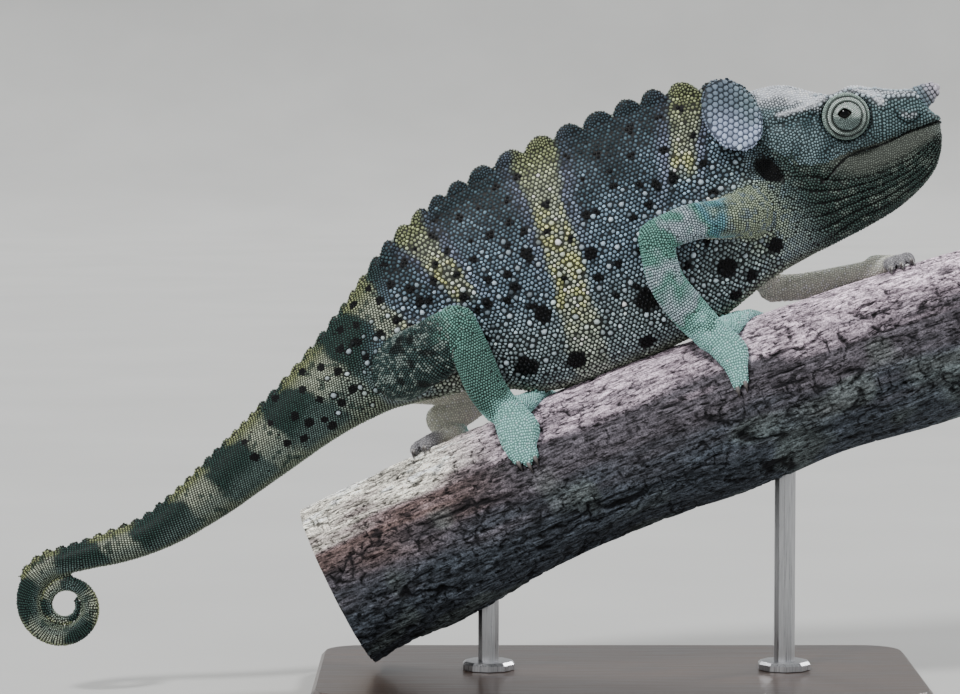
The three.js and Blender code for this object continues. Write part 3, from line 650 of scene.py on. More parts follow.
class Atlas:
    """Finds the loft, station and way round it that a point on the skin lies nearest to."""

    def __init__(self, lofts):
        self.lofts = lofts
        self.names = [loft.name for loft in lofts]
        points, quads, cells = [], [], []
        count = 0
        for owner, loft in enumerate(lofts):
            rows, columns = loft.points.shape[:2]
            grid = grid_quads(rows, columns)
            points.append(loft.points.reshape(-1, 3))
            quads.append(count + grid)
            cells.append(np.stack([np.full(len(grid), owner), *np.divmod(grid[:, 0], columns)], -1))
            count += rows * columns
        self.cells = np.vstack(cells)
        self.tree = BVHTree.FromPolygons(np.vstack(points).tolist(), np.vstack(quads).tolist())

    def owned(self, places, *starts):
        """Which places belong to lofts whose names start so."""
        owners = [k for k, name in enumerate(self.names) if name.startswith(starts)]
        return np.isin(places.owner, owners)

    def find(self, points):
        nearest = np.array([self.tree.find_nearest(p)[2] for p in points.tolist()])
        owner, row, column = self.cells[nearest].T
        f, g = np.zeros((2, len(points)))
        for k, loft in enumerate(self.lofts):
            mine = owner == k
            i, j, p = row[mine], column[mine], points[mine]
            a, b, c, d = (loft.points[i + u, j + v] for u, v in ((0, 0), (1, 0), (1, 1), (0, 1)))
            for target, start, end in ((f, (a + d) / 2, (b + c) / 2), (g, (a + b) / 2, (c + d) / 2)):
                edge = end - start
                length = np.maximum((edge**2).sum(1), 1e-9)
                target[mine] = np.clip(((p - start) * edge).sum(1) / length, 0, 1)
        return self.places(owner, row + f, column + g)

    def places(self, owner, row, column):
        """Places from fractional rows and columns of their lofts."""
        result = {key: np.zeros(len(owner)) for key in Places.KEYS}
        result["owner"] = owner
        for k, loft in enumerate(self.lofts):
            mine = owner == k
            i = np.minimum(row[mine].astype(int), len(loft.points) - 2)
            j = np.minimum(column[mine].astype(int), loft.points.shape[1] - 2)
            f, g = row[mine] - i, column[mine] - j
            result["station"][mine] = loft.stations[i] * (1 - f) + loft.stations[i + 1] * f
            result["along"][mine] = loft.along[i] * (1 - f) + loft.along[i + 1] * f
            share = loft.around[i, j] * (1 - g) + loft.around[i, j + 1] * g
            result["round"][mine] = share * loft.girth.mean()
            result["angle"][mine] = 2 * math.pi * (j + g) / (loft.points.shape[1] - 1)
        return Places(**result)

    def lattice(self, name, spacing, start=0, stop=1e9, run=RINGS):
        """Points of a lattice on a loft between two stations, which runs as LINES, RINGS or TIGHT rings."""
        owner = self.names.index(name)
        loft = self.lofts[owner]
        row_of = np.arange(len(loft.points))
        inside = (loft.stations >= start) & (loft.stations <= stop)
        first, last = loft.along[inside][[0, -1]]
        pitch = spacing * math.sqrt(3) / 2
        rows, shares = [], []
        if run == LINES:
            count = 2 * round(loft.girth[inside].max() / pitch / 2)
            for k in range(count):
                s = np.arange(first + 0.5 * spacing * (k % 2), last, spacing)
                rows.append(np.interp(s, loft.along, row_of))
                shares.append(np.full(len(s), k / count))
        else:
            for k, s in enumerate(np.arange(first, last, pitch if run == RINGS else spacing)):
                row = np.interp(s, loft.along, row_of)
                count = max(4, round(np.interp(row, row_of, loft.girth) / (spacing * run)))
                shares.append((np.arange(count) + 0.5 * (k % 2)) / count % 1)
                rows.append(np.full(count, row))
        row, share = np.concatenate(rows), np.concatenate(shares)
        near = loft.around[row.astype(int)]
        columns = np.arange(loft.points.shape[1])
        column = np.array([np.interp(s, line, columns) for s, line in zip(share, near, strict=True)])
        return loft.at(row, share), self.places(np.full(len(row), owner), row, column)


# ---- Meshes ----

CENTRE = (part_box("eye_right")[0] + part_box("eye_right")[1]) / 2 / MM
SHIFT = np.array([CENTRE.x - EYE["x"], 0, CENTRE.z - EYE["z"]])


def mesh_of(name, points, faces, colours=None, uv=None):
    """A smooth mesh from drawing points and an array of faces, with its colours as the attribute Marking."""
    mesh = bpy.data.meshes.new(name)
    groups = faces if isinstance(faces, list) else [faces]
    corners = np.concatenate([group.ravel() for group in groups])
    totals = np.concatenate([np.full(len(group), group.shape[1]) for group in groups])
    mesh.vertices.add(len(points))
    mesh.loops.add(len(corners))
    mesh.polygons.add(len(totals))
    mesh.vertices.foreach_set("co", ((points + SHIFT) * MM).astype(np.float32).ravel())
    mesh.loops.foreach_set("vertex_index", corners.astype(np.int32))
    mesh.polygons.foreach_set("loop_start", np.append(0, np.cumsum(totals)[:-1]).astype(np.int32))
    mesh.update(calc_edges=True)
    if colours is not None:
        layer = mesh.color_attributes.new("Marking", "FLOAT_COLOR", "POINT")
        rgba = np.hstack([colours, np.ones((len(points), 1))]).astype(np.float32)
        layer.data.foreach_set("color", rgba.ravel())
    if uv is not None:
        mesh.uv_layers.new(name="OFBake").data.foreach_set("uv", uv[corners].astype(np.float32).ravel())
    mesh.shade_smooth()
    return mesh


def piece(mesh, material, slot, replaced=()):
    """The mesh as a piece of the model that rides on the one body."""
    made = bpy.data.objects.new(mesh.name, mesh)
    bpy.context.scene.collection.objects.link(made)
    made.data.materials.append(material)
    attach(made, "root")
    if replaced:
        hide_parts(*replaced)
    return made


# ---- Scales ----

SCALE_SIDES = 6
PATCH = 0.003  # width of a scale's patch on its piece's map
FAR = 99.0  # millimetres, further than anything that matters to a scale


def corner_angles(sides):
    """The directions of a scale's corners."""
    return 2 * math.pi * (np.arange(sides) + 0.5) / sides


def tree_of(points):
    tree = KDTree(len(points))
    for i, p in enumerate(points.tolist()):
        tree.insert(p, i)
    tree.balance()
    return tree


def thin(points, reach):
    """Which points to keep, the first ones first, so that no two are closer than their mean reach."""
    tree = tree_of(points)
    keep = np.ones(len(points), bool)
    for i, p in enumerate(points.tolist()):
        if keep[i]:
            for _, j, gap in tree.find_range(p, reach[i]):
                if j > i and gap < (reach[i] + reach[j]) / 2:
                    keep[j] = False
    return keep


def outlines(points, normals, tangents, sizes):
    """How far each scale reaches in each of its directions before it meets the next one."""
    tree = tree_of(points)
    near = np.array([[j for _, j, _ in tree.find_n(p, 10)][1:] for p in points.tolist()])
    offset = points[near] - points[:, None]
    across = np.cross(normals, tangents)
    x = (offset * tangents[:, None]).sum(2)
    y = (offset * across[:, None]).sum(2)
    share = sizes[:, None] / (sizes[:, None] + sizes[near])
    reach = share * (x**2 + y**2)
    reach[(normals[:, None] * normals[near]).sum(2) < 0.3] = FAR
    limit = np.repeat(sizes[:, None] * 1.3, SCALE_SIDES, axis=1)
    for k, phi in enumerate(corner_angles(SCALE_SIDES)):
        towards = x * math.cos(phi) + y * math.sin(phi)
        distance = np.where(towards > 0.05, reach / np.maximum(towards, 0.05), FAR)
        limit[:, k] = np.minimum(limit[:, k], distance.min(1))
    return np.maximum(limit, 0.2 * sizes[:, None])


def domes(points, normals, tangents, radii, heights, colours, charts, profile):
    """Low domes, one for each point, through rings of (share of the radius, share of the height, painted
    shade).

    Gives their points, faces, colours and places on the piece's map, where each dome has a small patch.
    """
    count, sides = radii.shape
    across = np.cross(normals, tangents)
    phi = corner_angles(sides)
    x, y = radii * np.cos(phi), radii * np.sin(phi)
    flat = tangents[:, None] * x[..., None] + across[:, None] * y[..., None]
    local = np.stack([x, y], -1) / radii.max(1)[:, None, None]
    verts, shades, places = [], [], []
    for share, lift, tone_and_painted_shade in profile:
        verts.append(points[:, None] + flat * share + (normals * (heights * lift)[:, None])[:, None])
        shades.append(np.broadcast_to((colours * tone_and_painted_shade)[:, None], (count, sides, 3)))
        places.append(charts[:, None] + local * share * PATCH / 2)
    top = points + normals * heights[:, None]
    verts = np.concatenate([*verts, top[:, None]], axis=1)
    shades = np.concatenate([*shades, colours[:, None]], axis=1)
    places = np.concatenate([*places, charts[:, None]], axis=1)
    rings = len(profile)
    size = rings * sides + 1
    last_ring = (rings - 1) * sides + np.arange(sides)
    after = (rings - 1) * sides + (np.arange(sides) + 1) % sides
    tips = np.stack([last_ring, after, np.full(sides, size - 1)], -1)
    quads = np.split(grid_quads(rings, sides, closed=True)[:, [0, 3, 2, 1]], rings - 1)
    start = np.arange(count)[:, None, None] * size
    faces = [(start + group[None]).reshape(-1, group.shape[1]) for group in (*quads, tips)]
    return verts.reshape(-1, 3), faces, shades.reshape(-1, 3), places.reshape(-1, 2)


def packed(places):
    """Places on a unit square that lays the skin out flat, with one strip for each loft."""
    owners = np.unique(places.owner)
    margin = 2 * PATCH
    spans = []
    for owner in owners:
        mine = places.owner == owner
        u, v = places.along[mine], places.round[mine]
        spans.append((mine, u - u.min(), v - v.min()))
    height = sum(v.max() + 1 for _, _, v in spans)
    width = max(u.max() for _, u, _ in spans)
    chart = np.zeros((len(places.owner), 2))
    base = 0
    for mine, u, v in spans:
        chart[mine, 0] = margin + (1 - 2 * margin) * u / max(width, 1)
        chart[mine, 1] = margin + (1 - 2 * margin) * (base + v) / height
        base += v.max() + 1
    return chart


# ---- Markings ----


def srgb(red, green, blue):
    """A colour as printed or seen on a screen, from 0 to 255, as linear light."""
    c = np.array([red, green, blue], float) / 255
    return np.where(c <= 0.04045, c / 12.92, ((c + 0.055) / 1.055) ** 2.4)


def mixed(first, second, share):
    share = np.asarray(share, float)[..., None]
    return first * (1 - share) + second * share


def layered(colour, *layers):
    """A colour under layers of others, each an ink's name or a colour, and how much of it shows."""
    for ink, share in layers:
        colour = mixed(colour, INK[ink] if isinstance(ink, str) else ink, share)
    return colour


def noise(points, size, seed=0):
    """Smooth noise from 0 to 1 with blobs about as large as size, at points in any number of dimensions."""
    place = points / size + 1000 + 17.3 * seed
    base = np.floor(place).astype(np.int64)
    f = place - base
    f = f * f * (3 - 2 * f)
    total = 0
    for corner in np.ndindex(*(2,) * points.shape[1]):
        cell = base + corner
        mash = np.zeros(len(points), np.int64)
        for k, prime in zip(range(points.shape[1]), (73856093, 19349663, 83492791), strict=False):
            mash ^= cell[:, k] * prime
        mash = (mash ^ (mash >> 13)) * 1274126177 & 0x7FFFFFFF
        value = ((mash ^ (mash >> 16)) & 0xFFFF) / 0xFFFF
        weight = np.prod([f[:, k] if corner[k] else 1 - f[:, k] for k in range(points.shape[1])], axis=0)
        total = total + weight * value
    return total


INK = {
    "flank_top": srgb(56, 74, 82),
    "flank": srgb(124, 147, 164),
    "flank_low": srgb(142, 158, 162),
    "belly": srgb(130, 138, 122),
    "lavender": srgb(150, 152, 182),
    "olive": srgb(190, 198, 176),
    "yellow": srgb(236, 240, 166),
    "ash": srgb(186, 196, 182),
    "crest_yellow": srgb(150, 158, 114),
    "tail": srgb(50, 76, 70),
    "tail_grey": srgb(110, 130, 126),
    "tail_under": srgb(138, 150, 132),
    "black": srgb(8, 10, 14),
    "pearl": srgb(198, 212, 222),
    "throat": srgb(68, 88, 82),
    "throat_pale": srgb(146, 160, 148),
    "jaw": srgb(104, 110, 102),
    "shoulder": srgb(176, 190, 164),
    "casque_and_highlight": srgb(236, 240, 248),
    "cheek": srgb(132, 156, 162),
    "cheek_dark_and_shade": srgb(52, 78, 84),
    "snout": srgb(116, 142, 146),
    "chin": srgb(128, 138, 132),
    "plate": srgb(104, 118, 132),
    "plate_pale": srgb(194, 208, 240),
    "teal": srgb(118, 174, 190),
    "green": srgb(126, 184, 170),
    "lilac": srgb(200, 218, 228),
    "mint": srgb(190, 255, 246),
    "thigh": srgb(64, 86, 84),
    "thigh_pale": srgb(168, 184, 176),
    "shin": srgb(104, 146, 136),
    "backlit_cream": srgb(246, 246, 230),
    "grey": srgb(158, 156, 160),
}

# Pale bands over the back: station at the crest, how far the station moves on the way down, half-width there,
# and how far down the flank the band reaches, as a share of the way from back to belly.
BANDS = [
    (8.45, 2.2, 0.3, 0.36),
    (12.3, 0.3, 0.32, 1),
    (16.3, -2.2, 0.34, 0.5),
    (18.95, -2.6, 0.38, 1),
    (21.5, -2.5, 0.46, 1),
    (23.9, -1.8, 0.42, 1),
    (26.2, -0.9, 0.44, 1),
    (29.2, -0.5, 0.5, 1),
    (32.7, -0.3, 0.8, 1),
    (38.5, 0, 1.4, 1),
    (45, 0, 1.3, 1),
    (51.5, 0, 1.3, 1),
    (57.5, 0, 1.3, 1),
]

# Large black spots: station, share of the way down from back to belly, radius.
SPOTS = [
    (7.6, 0.85, 3.2),
    (8.4, 0.92, 2.5),
    (8.9, 0.81, 4.1),
    (8.9, 0.95, 2.6),
    (9.9, 0.33, 1.9),
    (10.8, 0.26, 1.7),
    (10.9, 0.76, 4.8),
    (11.2, 0.93, 3.2),
    (11.6, 0.33, 2),
    (11.8, 0.49, 2.6),
    (12.9, 0.89, 4),
    (13.2, 0.38, 2.6),
    (13.3, 0.65, 3.5),
    (13.8, 0.5, 1.9),
    (14.3, 0.87, 4.4),
    (14.7, 0.53, 1.9),
    (16.7, 0.4, 1.9),
    (17.2, 0.51, 1.9),
    (20.6, 0.85, 1.9),
    (21.4, 0.64, 1.9),
]
# Small round black spots: how far apart, first and last station, radii, and how much they crowd the upper
# flank.
FLECKS = {"apart": 6.4, "from": 8.2, "to": 24, "radius": (1.25, 1.85), "crowding": 1.7}
# The middle and size of the pale tint over the shoulder.
SHOULDER = {"x": 99, "z": 181, "size": 14}


def down_of(angle):
    """The share of the way down from the back to the belly at an angle round a section."""
    return (1 - np.cos(angle)) / 2


def on_flank(station, down, side):
    """The place on the body's surface at a station and a share of the way down."""
    row = along(SPINE, [station])
    columns = 720
    ring = section(row, columns)[0]
    angle = math.acos(1 - 2 * down)
    return ring[round((angle if side > 0 else 2 * math.pi - angle) / (2 * math.pi) * columns)]


def spot_centres():
    """Where the black spots are. The left side's lie a little off the right side's mirror image."""
    for station, down, radius in SPOTS:
        yield on_flank(station, down, -1), radius
        off = 0.3 * math.sin(9 * station), 0.03 * math.cos(7 * station)
        yield on_flank(station + off[0], min(0.97, down + off[1]), 1), radius
    draw = np.random.default_rng(11)
    count = 700
    stations = draw.uniform(FLECKS["from"], FLECKS["to"], count)
    downs = 0.05 + 0.72 * draw.uniform(size=count) ** FLECKS["crowding"]
    sides = np.where(np.arange(count) % 2, -1, 1)
    places = np.array([on_flank(*where) for where in zip(stations, downs, sides, strict=True)])
    for k in np.flatnonzero(thin(places, np.full(count, FLECKS["apart"]))):
        yield places[k], draw.uniform(*FLECKS["radius"])


def spotted(points):
    """How far points are inside black spots, from 0 to 1."""
    dark = np.zeros(len(points))
    ragged = 0.2 * (noise(points, 1.3, 5) - 0.5)
    for centre, radius in SPOT_CENTRES:
        near = np.abs(points - centre).max(1) < 1.5 * radius
        reach = np.linalg.norm(points[near] - centre, axis=1) / radius + ragged[near]
        dark[near] = np.maximum(dark[near], 1 - smooth_step(0.88, 1.12, reach))
    return dark


SPOT_CENTRES = list(spot_centres())


def banded(station, down, wander):
    """How far places are inside a pale band, and inside the lavender fringes of one."""
    inside, fringe = np.zeros((2, len(station)))
    for centre, lean, half, reach in BANDS:
        shift = lean * np.clip(down, 0, 1)
        width = half * (1.5 - 0.5 * smooth_step(0, 0.25, down) + 0.35 * np.clip(down, 0, 1))
        off = np.abs(station - centre - shift) / width + wander
        fade = 1 - smooth_step(reach - 0.08, reach + 0.04, down + 0.1 * wander)
        inside = np.maximum(inside, (1 - smooth_step(0.75, 1.3, off)) * fade)
        fringe = np.maximum(fringe, smooth_step(0.9, 1.3, off) * (1 - smooth_step(1.3, 2.4, off)))
    return inside, fringe


def shoulder_tint(points):
    """Pale olive, broken up over the ball of the shoulder."""
    return mixed(INK["flank_low"], INK["shoulder"], smooth_step(0.2, 0.55, noise(points, 1.5, 2)))


def paint_crest(places, points):
    """The crest: as the back under it, with a pale rim along its edge that is partly its own pale colour and
    partly painted highlight.
    """
    # A pale rim, partly painted highlight along the crest's edge.
    edge = 1 - smooth_step(0.01, 0.12, down_of(places.angle))
    places.angle = places.angle * 0
    return mixed(paint_body(places, points), INK["ash"], 0.5 * edge)


def tail_colour(down, mottle):
    """The tail between its bands: dark on top and greyer towards its underside."""
    return layered(
        INK["tail"],
        ("tail_grey", 0.7 * smooth_step(0.3, 0.85, down + 0.6 * (mottle - 0.5))),
        ("tail_under", smooth_step(0.86, 0.98, down)),
    )


def band_colour(down, fine, trunk):
    """A pale band: yellow at mid height on the trunk, grey on the tail."""
    middle = smooth_step(0.16, 0.3, down) * (1 - smooth_step(0.6, 0.85, down))
    return layered(
        INK["crest_yellow"],
        ("olive", smooth_step(0, 0.25, down)),
        ("yellow", middle * trunk * smooth_step(0.4, 0.6, fine)),
        ("ash", smooth_step(0.6, 0.9, down) * trunk),
        ("tail_grey", 0.7 * smooth_step(0.3, 0.7, down) * (1 - trunk)),
        ("tail_under", smooth_step(0.7, 0.95, down) * (1 - trunk)),
    )


def throat_colour(places, points, fine):
    """The throat and the lower jaw, with dark grooves between the throat's folds."""
    station, down = places.station, down_of(places.angle)
    colour = layered(
        INK["throat"],
        ("throat_pale", smooth_step(0.5, 0.8, fine) * 0.5),
        ("jaw", (1 - smooth_step(0.34, 0.56, down)) * (1 - smooth_step(4, 6, station))),
        ("chin", 0.8 * (1 - smooth_step(0.3, 1.4, station))),
    )
    shown, fold = pouch(places, points)
    return colour * (1 - 0.92 * shown * (1 - smooth_step(0.15, 0.6, fold)))[:, None]


def paint_body(places, points):
    """The trunk, neck, throat and tail."""
    station, down = places.station, down_of(places.angle)
    mottle = noise(points, 9, 1)
    fine = noise(points, 2.6, 2)
    inside, fringe = banded(station, down, 0.5 * (noise(points, 5, 6) - 0.5))
    trunk = 1 - smooth_step(16.5, 18, station)
    speck = smooth_step(0.66, 0.74, noise(points, 1.8, 7)) * (0.25 + 0.5 * (1 - trunk))
    band = mixed(band_colour(down, fine, trunk), INK["tail"], speck)
    shoulder = bell(np.hypot(points[:, 0] - SHOULDER["x"], points[:, 2] - SHOULDER["z"]), SHOULDER["size"])
    colour = layered(
        INK["flank_top"],
        ("flank", smooth_step(0.05, 0.45, down + 0.3 * (mottle - 0.5))),
        ("flank_low", smooth_step(0.5, 0.8, down)),
        ("belly", smooth_step(0.93, 1, down)),
        (tail_colour(down, mottle), smooth_step(16.8, 19, station - down)),
        ("lavender", 0.5 * fringe * trunk * bell(down - 0.25, 0.22) * (0.4 + mottle)),
        (band, inside * smooth_step(7.2, 8, station)),
        (shoulder_tint(points), np.minimum(1.4 * shoulder * (0.4 + mottle), 0.85)),
    )
    neck = smooth_step(6.2, 7.6, station + 0.6 * (down - 0.5))
    colour = mixed(throat_colour(places, points, fine), colour, neck)
    # Black spots, and painted shade in the pit behind the mouth's corner.
    return mixed(colour, INK["black"], np.maximum(spotted(points), hollow(points)))


def paint_skull(points):
    """The skull: a pale roof and snout, a dark-marked cheek, and listed streaks and patches that are partly
    markings and partly painted highlights and shade.
    """
    x, _, z = points.T
    flat = points[:, [0, 2]]
    mottle = noise(points, 5, 3)
    fine = noise(points, 2.2, 9)
    roof = smooth_step(217, 220.5, z) * (1 - smooth_step(118, 124, x))
    layers = [
        ("cheek_dark_and_shade", smooth_step(0.5, 0.75, mottle) * 0.5),
        ("snout", smooth_step(134, 142, x)),
        ("jaw", 0.4 * (1 - smooth_step(1, 3, line_distance(flat, MOUTH)))),
        ("casque_and_highlight", roof * (0.6 + 0.4 * fine)),
    ]
    # Pale markings over the casque and brow, and painted highlights along the head's ridges.
    for line, width, share in HEAD_MARKS_AND_HIGHLIGHTS:
        near = bell(line_distance(flat, line), width) * (0.7 + 0.6 * fine)
        layers.append(("casque_and_highlight", np.minimum(share * near, 1)))
    # Dark cheek markings, and painted shade under the temple's ridge and the nostril.
    for place, size, share in HEAD_SHADES:
        near = bell(np.hypot(*(flat - place).T), size)
        layers.append(("cheek_dark_and_shade", share * near * smooth_step(0.3, 0.6, fine)))
    # Painted shadow: a black rim round the eye's socket.
    rim = bell(np.hypot(x - EYE["x"], z - EYE["z"]) - EYE["radius"] - 0.6, 0.9)
    layers.append(("black", 0.6 * rim))
    # Painted shade in the fold under the nostril's swelling.
    layers.append(("cheek_dark_and_shade", 0.9 * bell(line_distance(flat, CURL), 0.8)))
    # Painted shade in the pit behind the mouth's corner.
    layers.append(("black", hollow(points)))
    return layered(INK["cheek"], *layers)


# Colours along each limb: 0 to 1 from the shoulder or hip to the elbow or knee, and 1 to 2 from there on.
LIMB_INKS = {
    "front": [
        (0, "shoulder"), (0.28, "shoulder"), (0.46, "teal"), (0.56, "green"), (0.65, "lilac"),
        (0.75, "lilac"), (0.85, "green"), (1.15, "green"), (1.3, "lilac"), (1.42, "green"), (1.6, "lilac"),
        (1.74, "green"), (1.9, "mint"), (2, "mint"),
    ],
    "hind": [
        (0, "thigh"), (0.6, "thigh"), (0.85, "shin"), (1, "green"), (1.3, "shin"), (1.8, "shin"), (2, "mint"),
    ],
}


def paint_limb(places, points, name):
    """One limb. Its station counts the rows from the shoulder or hip, and from the elbow or knee."""
    limb, part = name.rsplit("_", 1)
    pair = limb.split("_")[0]
    t = places.station / (len(LIMBS[limb][part]) - 1) + (part == "lower")
    wobble = t + 0.3 * (noise(points, 4, 4) - 0.5)
    at, names = zip(*LIMB_INKS[pair], strict=True)
    inks = np.array([INK[ink] for ink in names])
    colour = np.stack([np.interp(wobble, at, inks[:, k]) for k in range(3)], -1)
    if pair == "hind":
        pale = smooth_step(0.55, 0.7, noise(points, 1.3, 14)) * (1 - smooth_step(0.8, 1.2, t))
        dark = smooth_step(0.6, 0.75, noise(points, 4, 15)) * (1 - smooth_step(0.5, 0.9, t))
        colour = layered(colour, ("thigh_pale", 0.6 * pale), ("black", 0.8 * dark))
    else:
        colour = mixed(shoulder_tint(points), colour, smooth_step(0.24, 0.48, wobble))
        dark = smooth_step(0.55, 0.7, noise(points, 3, 10)) * bell(t - 0.45, 0.25)
        colour = mixed(colour, INK["throat"], 0.5 * dark)
    # Cream on the inner side, most on the left limbs: painted light that stands for light shining through
    # them from behind.
    row = along(LIMBS[limb][part], places.station)
    side = LIMBS[limb]["side"]
    inwards = (row[:, 1] - side * points[:, 1]) / row[:, 3] + 0.3 * side
    return mixed(colour, INK["backlit_cream"], smooth_step(-0.25, 0.4, inwards))


def paint_toe(places, points, name):
    """One toe: mint, or on the left feet's inner side cream, painted light from behind, with a grey tip."""
    if "right" in name:
        return np.tile(INK["mint"], (len(points), 1))
    start = mixed(INK["backlit_cream"], INK["mint"], smooth_step(12, 20, points[:, 1]))
    return mixed(start, INK["grey"], smooth_step(0.8, 1.6, places.station))


def paint_lobe(points):
    """The flap behind a cheek: blue-grey, paler towards its lower edge."""
    forward = smooth_step(-2, 9, points[:, 0] - LOBE["x"])
    low = smooth_step(-3, 7, LOBE["z"] - points[:, 2] + 6 * (noise(points, 4, 12) - 0.5))
    colour = mixed(INK["plate"], INK["cheek"], 0.6 * forward)
    return mixed(colour, INK["plate_pale"], 0.85 * low)


def painted(name, places, points):
    """The markings of the part of the skin that belongs to one loft."""
    if name == "body":
        return paint_body(places, points)
    if name == "crest":
        return paint_crest(places, points)
    if name == "skull":
        return paint_skull(points)
    if name.startswith("lobe"):
        return paint_lobe(points)
    if "_toe_" in name:
        return paint_toe(places, points, name)
    return paint_limb(places, points, name)


def paint(atlas, places, points):
    """The animal's markings at places on its skin, as linear colours, with painted shade in the line between
    the lips.
    """
    colours = np.zeros((len(points), 3))
    for owner, name in enumerate(atlas.names):
        mine = places.owner == owner
        if mine.any():
            colours[mine] = painted(name, places.pick(mine), points[mine])
    # Painted shade: the line between the lips is painted black.
    return mixed(colours, INK["black"], 0.95 * (1 - smooth_step(0.3, 0.75, mouth_gap(points))))


# ---- The skin ----

# Ridges and hollows of the head: points x, z of each line, its width, and its height over the skin.
MOUTH = [
    (166, 214.4), (164.3, 213.9), (152.4, 209.8), (143.6, 205.4), (134.7, 202.8),
    (129.3, 200.5), (125.8, 197.4), (122.1, 193), (119.9, 191.3),
]
CURL = [(147.2, 217.4), (148.6, 214.6), (151, 213.2), (154, 213.6), (156.4, 216)]
HEAD_LINES = [
    (MOUTH, 0.5, -1.2),
    ([(165, 215.8), (152, 211.4), (143, 207), (134, 204.4), (128, 201.6)], 0.8, 0.3),
    ([(163, 212), (152, 208), (143, 203.6), (134, 200.6), (127, 196)], 0.9, 0.3),
    ([(141.5, 219.5), (140.6, 224), (136, 227.6), (129, 227.8), (122, 225), (118.6, 220)], 1.3, 0.8),
    ([(141, 224.5), (148, 223), (155, 224)], 1.1, 0.5),
    ([(120.6, 220.6), (113, 218), (103.6, 215.1)], 1.2, 1.4),
    ([(119, 216.4), (110, 213.8), (102, 212)], 1.5, -1.2),
    ([(142, 217), (147, 218.6), (151, 219)], 1, -0.5),
    (CURL, 0.8, -0.7),
    ([(149.6, 217.4), (151.6, 216.2), (154, 216.8)], 2, 1),
    ([(121, 190.4), (116, 190), (111, 193), (108.6, 198), (108.8, 203)], 0.7, -0.7),
    ([(122.4, 188.4), (115.6, 187.6), (110, 190.4)], 0.6, -0.6),
    ([(119.6, 193.4), (115.6, 193), (112.4, 196), (111, 201)], 0.7, -0.45),
    ([(117.5, 196.4), (114.6, 198), (114, 202)], 0.6, -0.35),
]
# White streaks on the head: pale markings over the casque and the brow, and painted highlights along the
# ridges to the temple and the horn and on the nostril's swelling. Points x, z of each line, its width and
# strength.
HEAD_MARKS_AND_HIGHLIGHTS = [
    ([(99, 224.6), (108, 223.6), (116, 222.4)], 2.2, 0.9),
    ([(120.6, 221.2), (112, 218.2), (104, 216)], 1.1, 1),
    ([(118, 219.6), (121, 223.4), (127, 225.6), (133, 226), (138, 224.6), (141.6, 221.4)], 1.9, 1.3),
    ([(141, 224.4), (148, 223.4), (154, 224.4)], 1.4, 0.75),
    ([(150, 216.4), (152, 215.4), (154, 216.2)], 1, 0.7),
]
# Dark patches on the head, partly dark markings on the cheek and partly painted shade in the hollow under the
# temple's ridge and under the nostril: place x, z, size and strength.
HEAD_SHADES = [
    ((117.6, 214.4), 3.4, 1),
    ((113.5, 212.5), 2, 0.8),
    ((108, 212.6), 2.4, 0.7),
    ((123.4, 205.6), 3.6, 0.7),
    ((118, 208), 3, 0.4),
    ((152, 217.2), 1.6, 0.9),
    ((104.5, 220), 3, 0.3),
]
NOSTRIL = {"x": 151.4, "z": 215, "radius": 0.6, "depth": 1, "rim": 0.2}
# The pit behind the corner of the mouth, painted black as the shade inside it: its middle, half-lengths along
# and across, lean and depth.
HOLLOW = {"x": 100.8, "z": 196, "long": 7.8, "wide": 4.1, "lean": 42, "depth": 1.8}
POUCH = {"folds": 11, "depth": 1.2, "from": 0.1, "to": 7.2, "wander": 1.4}
# Creases across the legs round each elbow and knee.
WRINKLES = {"spacing": 2.1, "depth": 0.24, "reach": 9}
SOCKET = 0.35  # of clear space round an eye
# How far the rounded valleys reach where a loft whose name holds this word meets the rest.
VALLEYS = {"body": 1, "skull": 2.5, "lobe": 2.5, "crest": 0.8, "toe": 1.4, "upper": 7, "lower": 0.8}


def line_distance(points, line):
    """How far points of a plane are from a line through the given points."""
    line = np.asarray(line, float)
    best = np.full(len(points), 1e9)
    for a, b in zip(line[:-1], line[1:], strict=True):
        share = np.clip(((points - a) @ (b - a)) / ((b - a) @ (b - a)), 0, 1)
        best = np.minimum(best, np.linalg.norm(points - a - share[:, None] * (b - a), axis=1))
    return best


def mouth_gap(points):
    """How far points are from the line between the lips."""
    gap = np.full(len(points), FAR)
    head = (points[:, 0] > 117) & (points[:, 2] > 188)
    gap[head] = line_distance(points[head][:, [0, 2]], MOUTH)
    return gap


def hollow(points):
    """How far points are inside the pit behind the corner of the mouth, from 0 to 1."""
    lean = math.radians(HOLLOW["lean"])
    x, z = points[:, 0] - HOLLOW["x"], points[:, 2] - HOLLOW["z"]
    along_pit = (x * math.cos(lean) - z * math.sin(lean)) / HOLLOW["long"]
    across_pit = (x * math.sin(lean) + z * math.cos(lean)) / HOLLOW["wide"]
    ragged = 0.5 * (noise(points, 2.5, 13) - 0.5)
    return 1 - smooth_step(0.72, 1.1, np.hypot(along_pit, across_pit) + ragged)


def pouch(places, points):
    """How much the throat's long folds show at places, and how near the top of a fold each place is."""
    down = down_of(places.angle)
    shown = smooth_step(POUCH["from"], POUCH["from"] + 0.5, places.station)
    shown *= 1 - smooth_step(POUCH["to"] - 1.4, POUCH["to"], places.station)
    shown *= smooth_step(0.32, 0.5, down) * (1 - smooth_step(0.93, 0.99, down))
    wander = POUCH["wander"] * (noise(points, 16, 8) - 0.5)
    return shown, np.abs(np.sin(math.pi * (POUCH["folds"] * down + wander))) ** 0.8


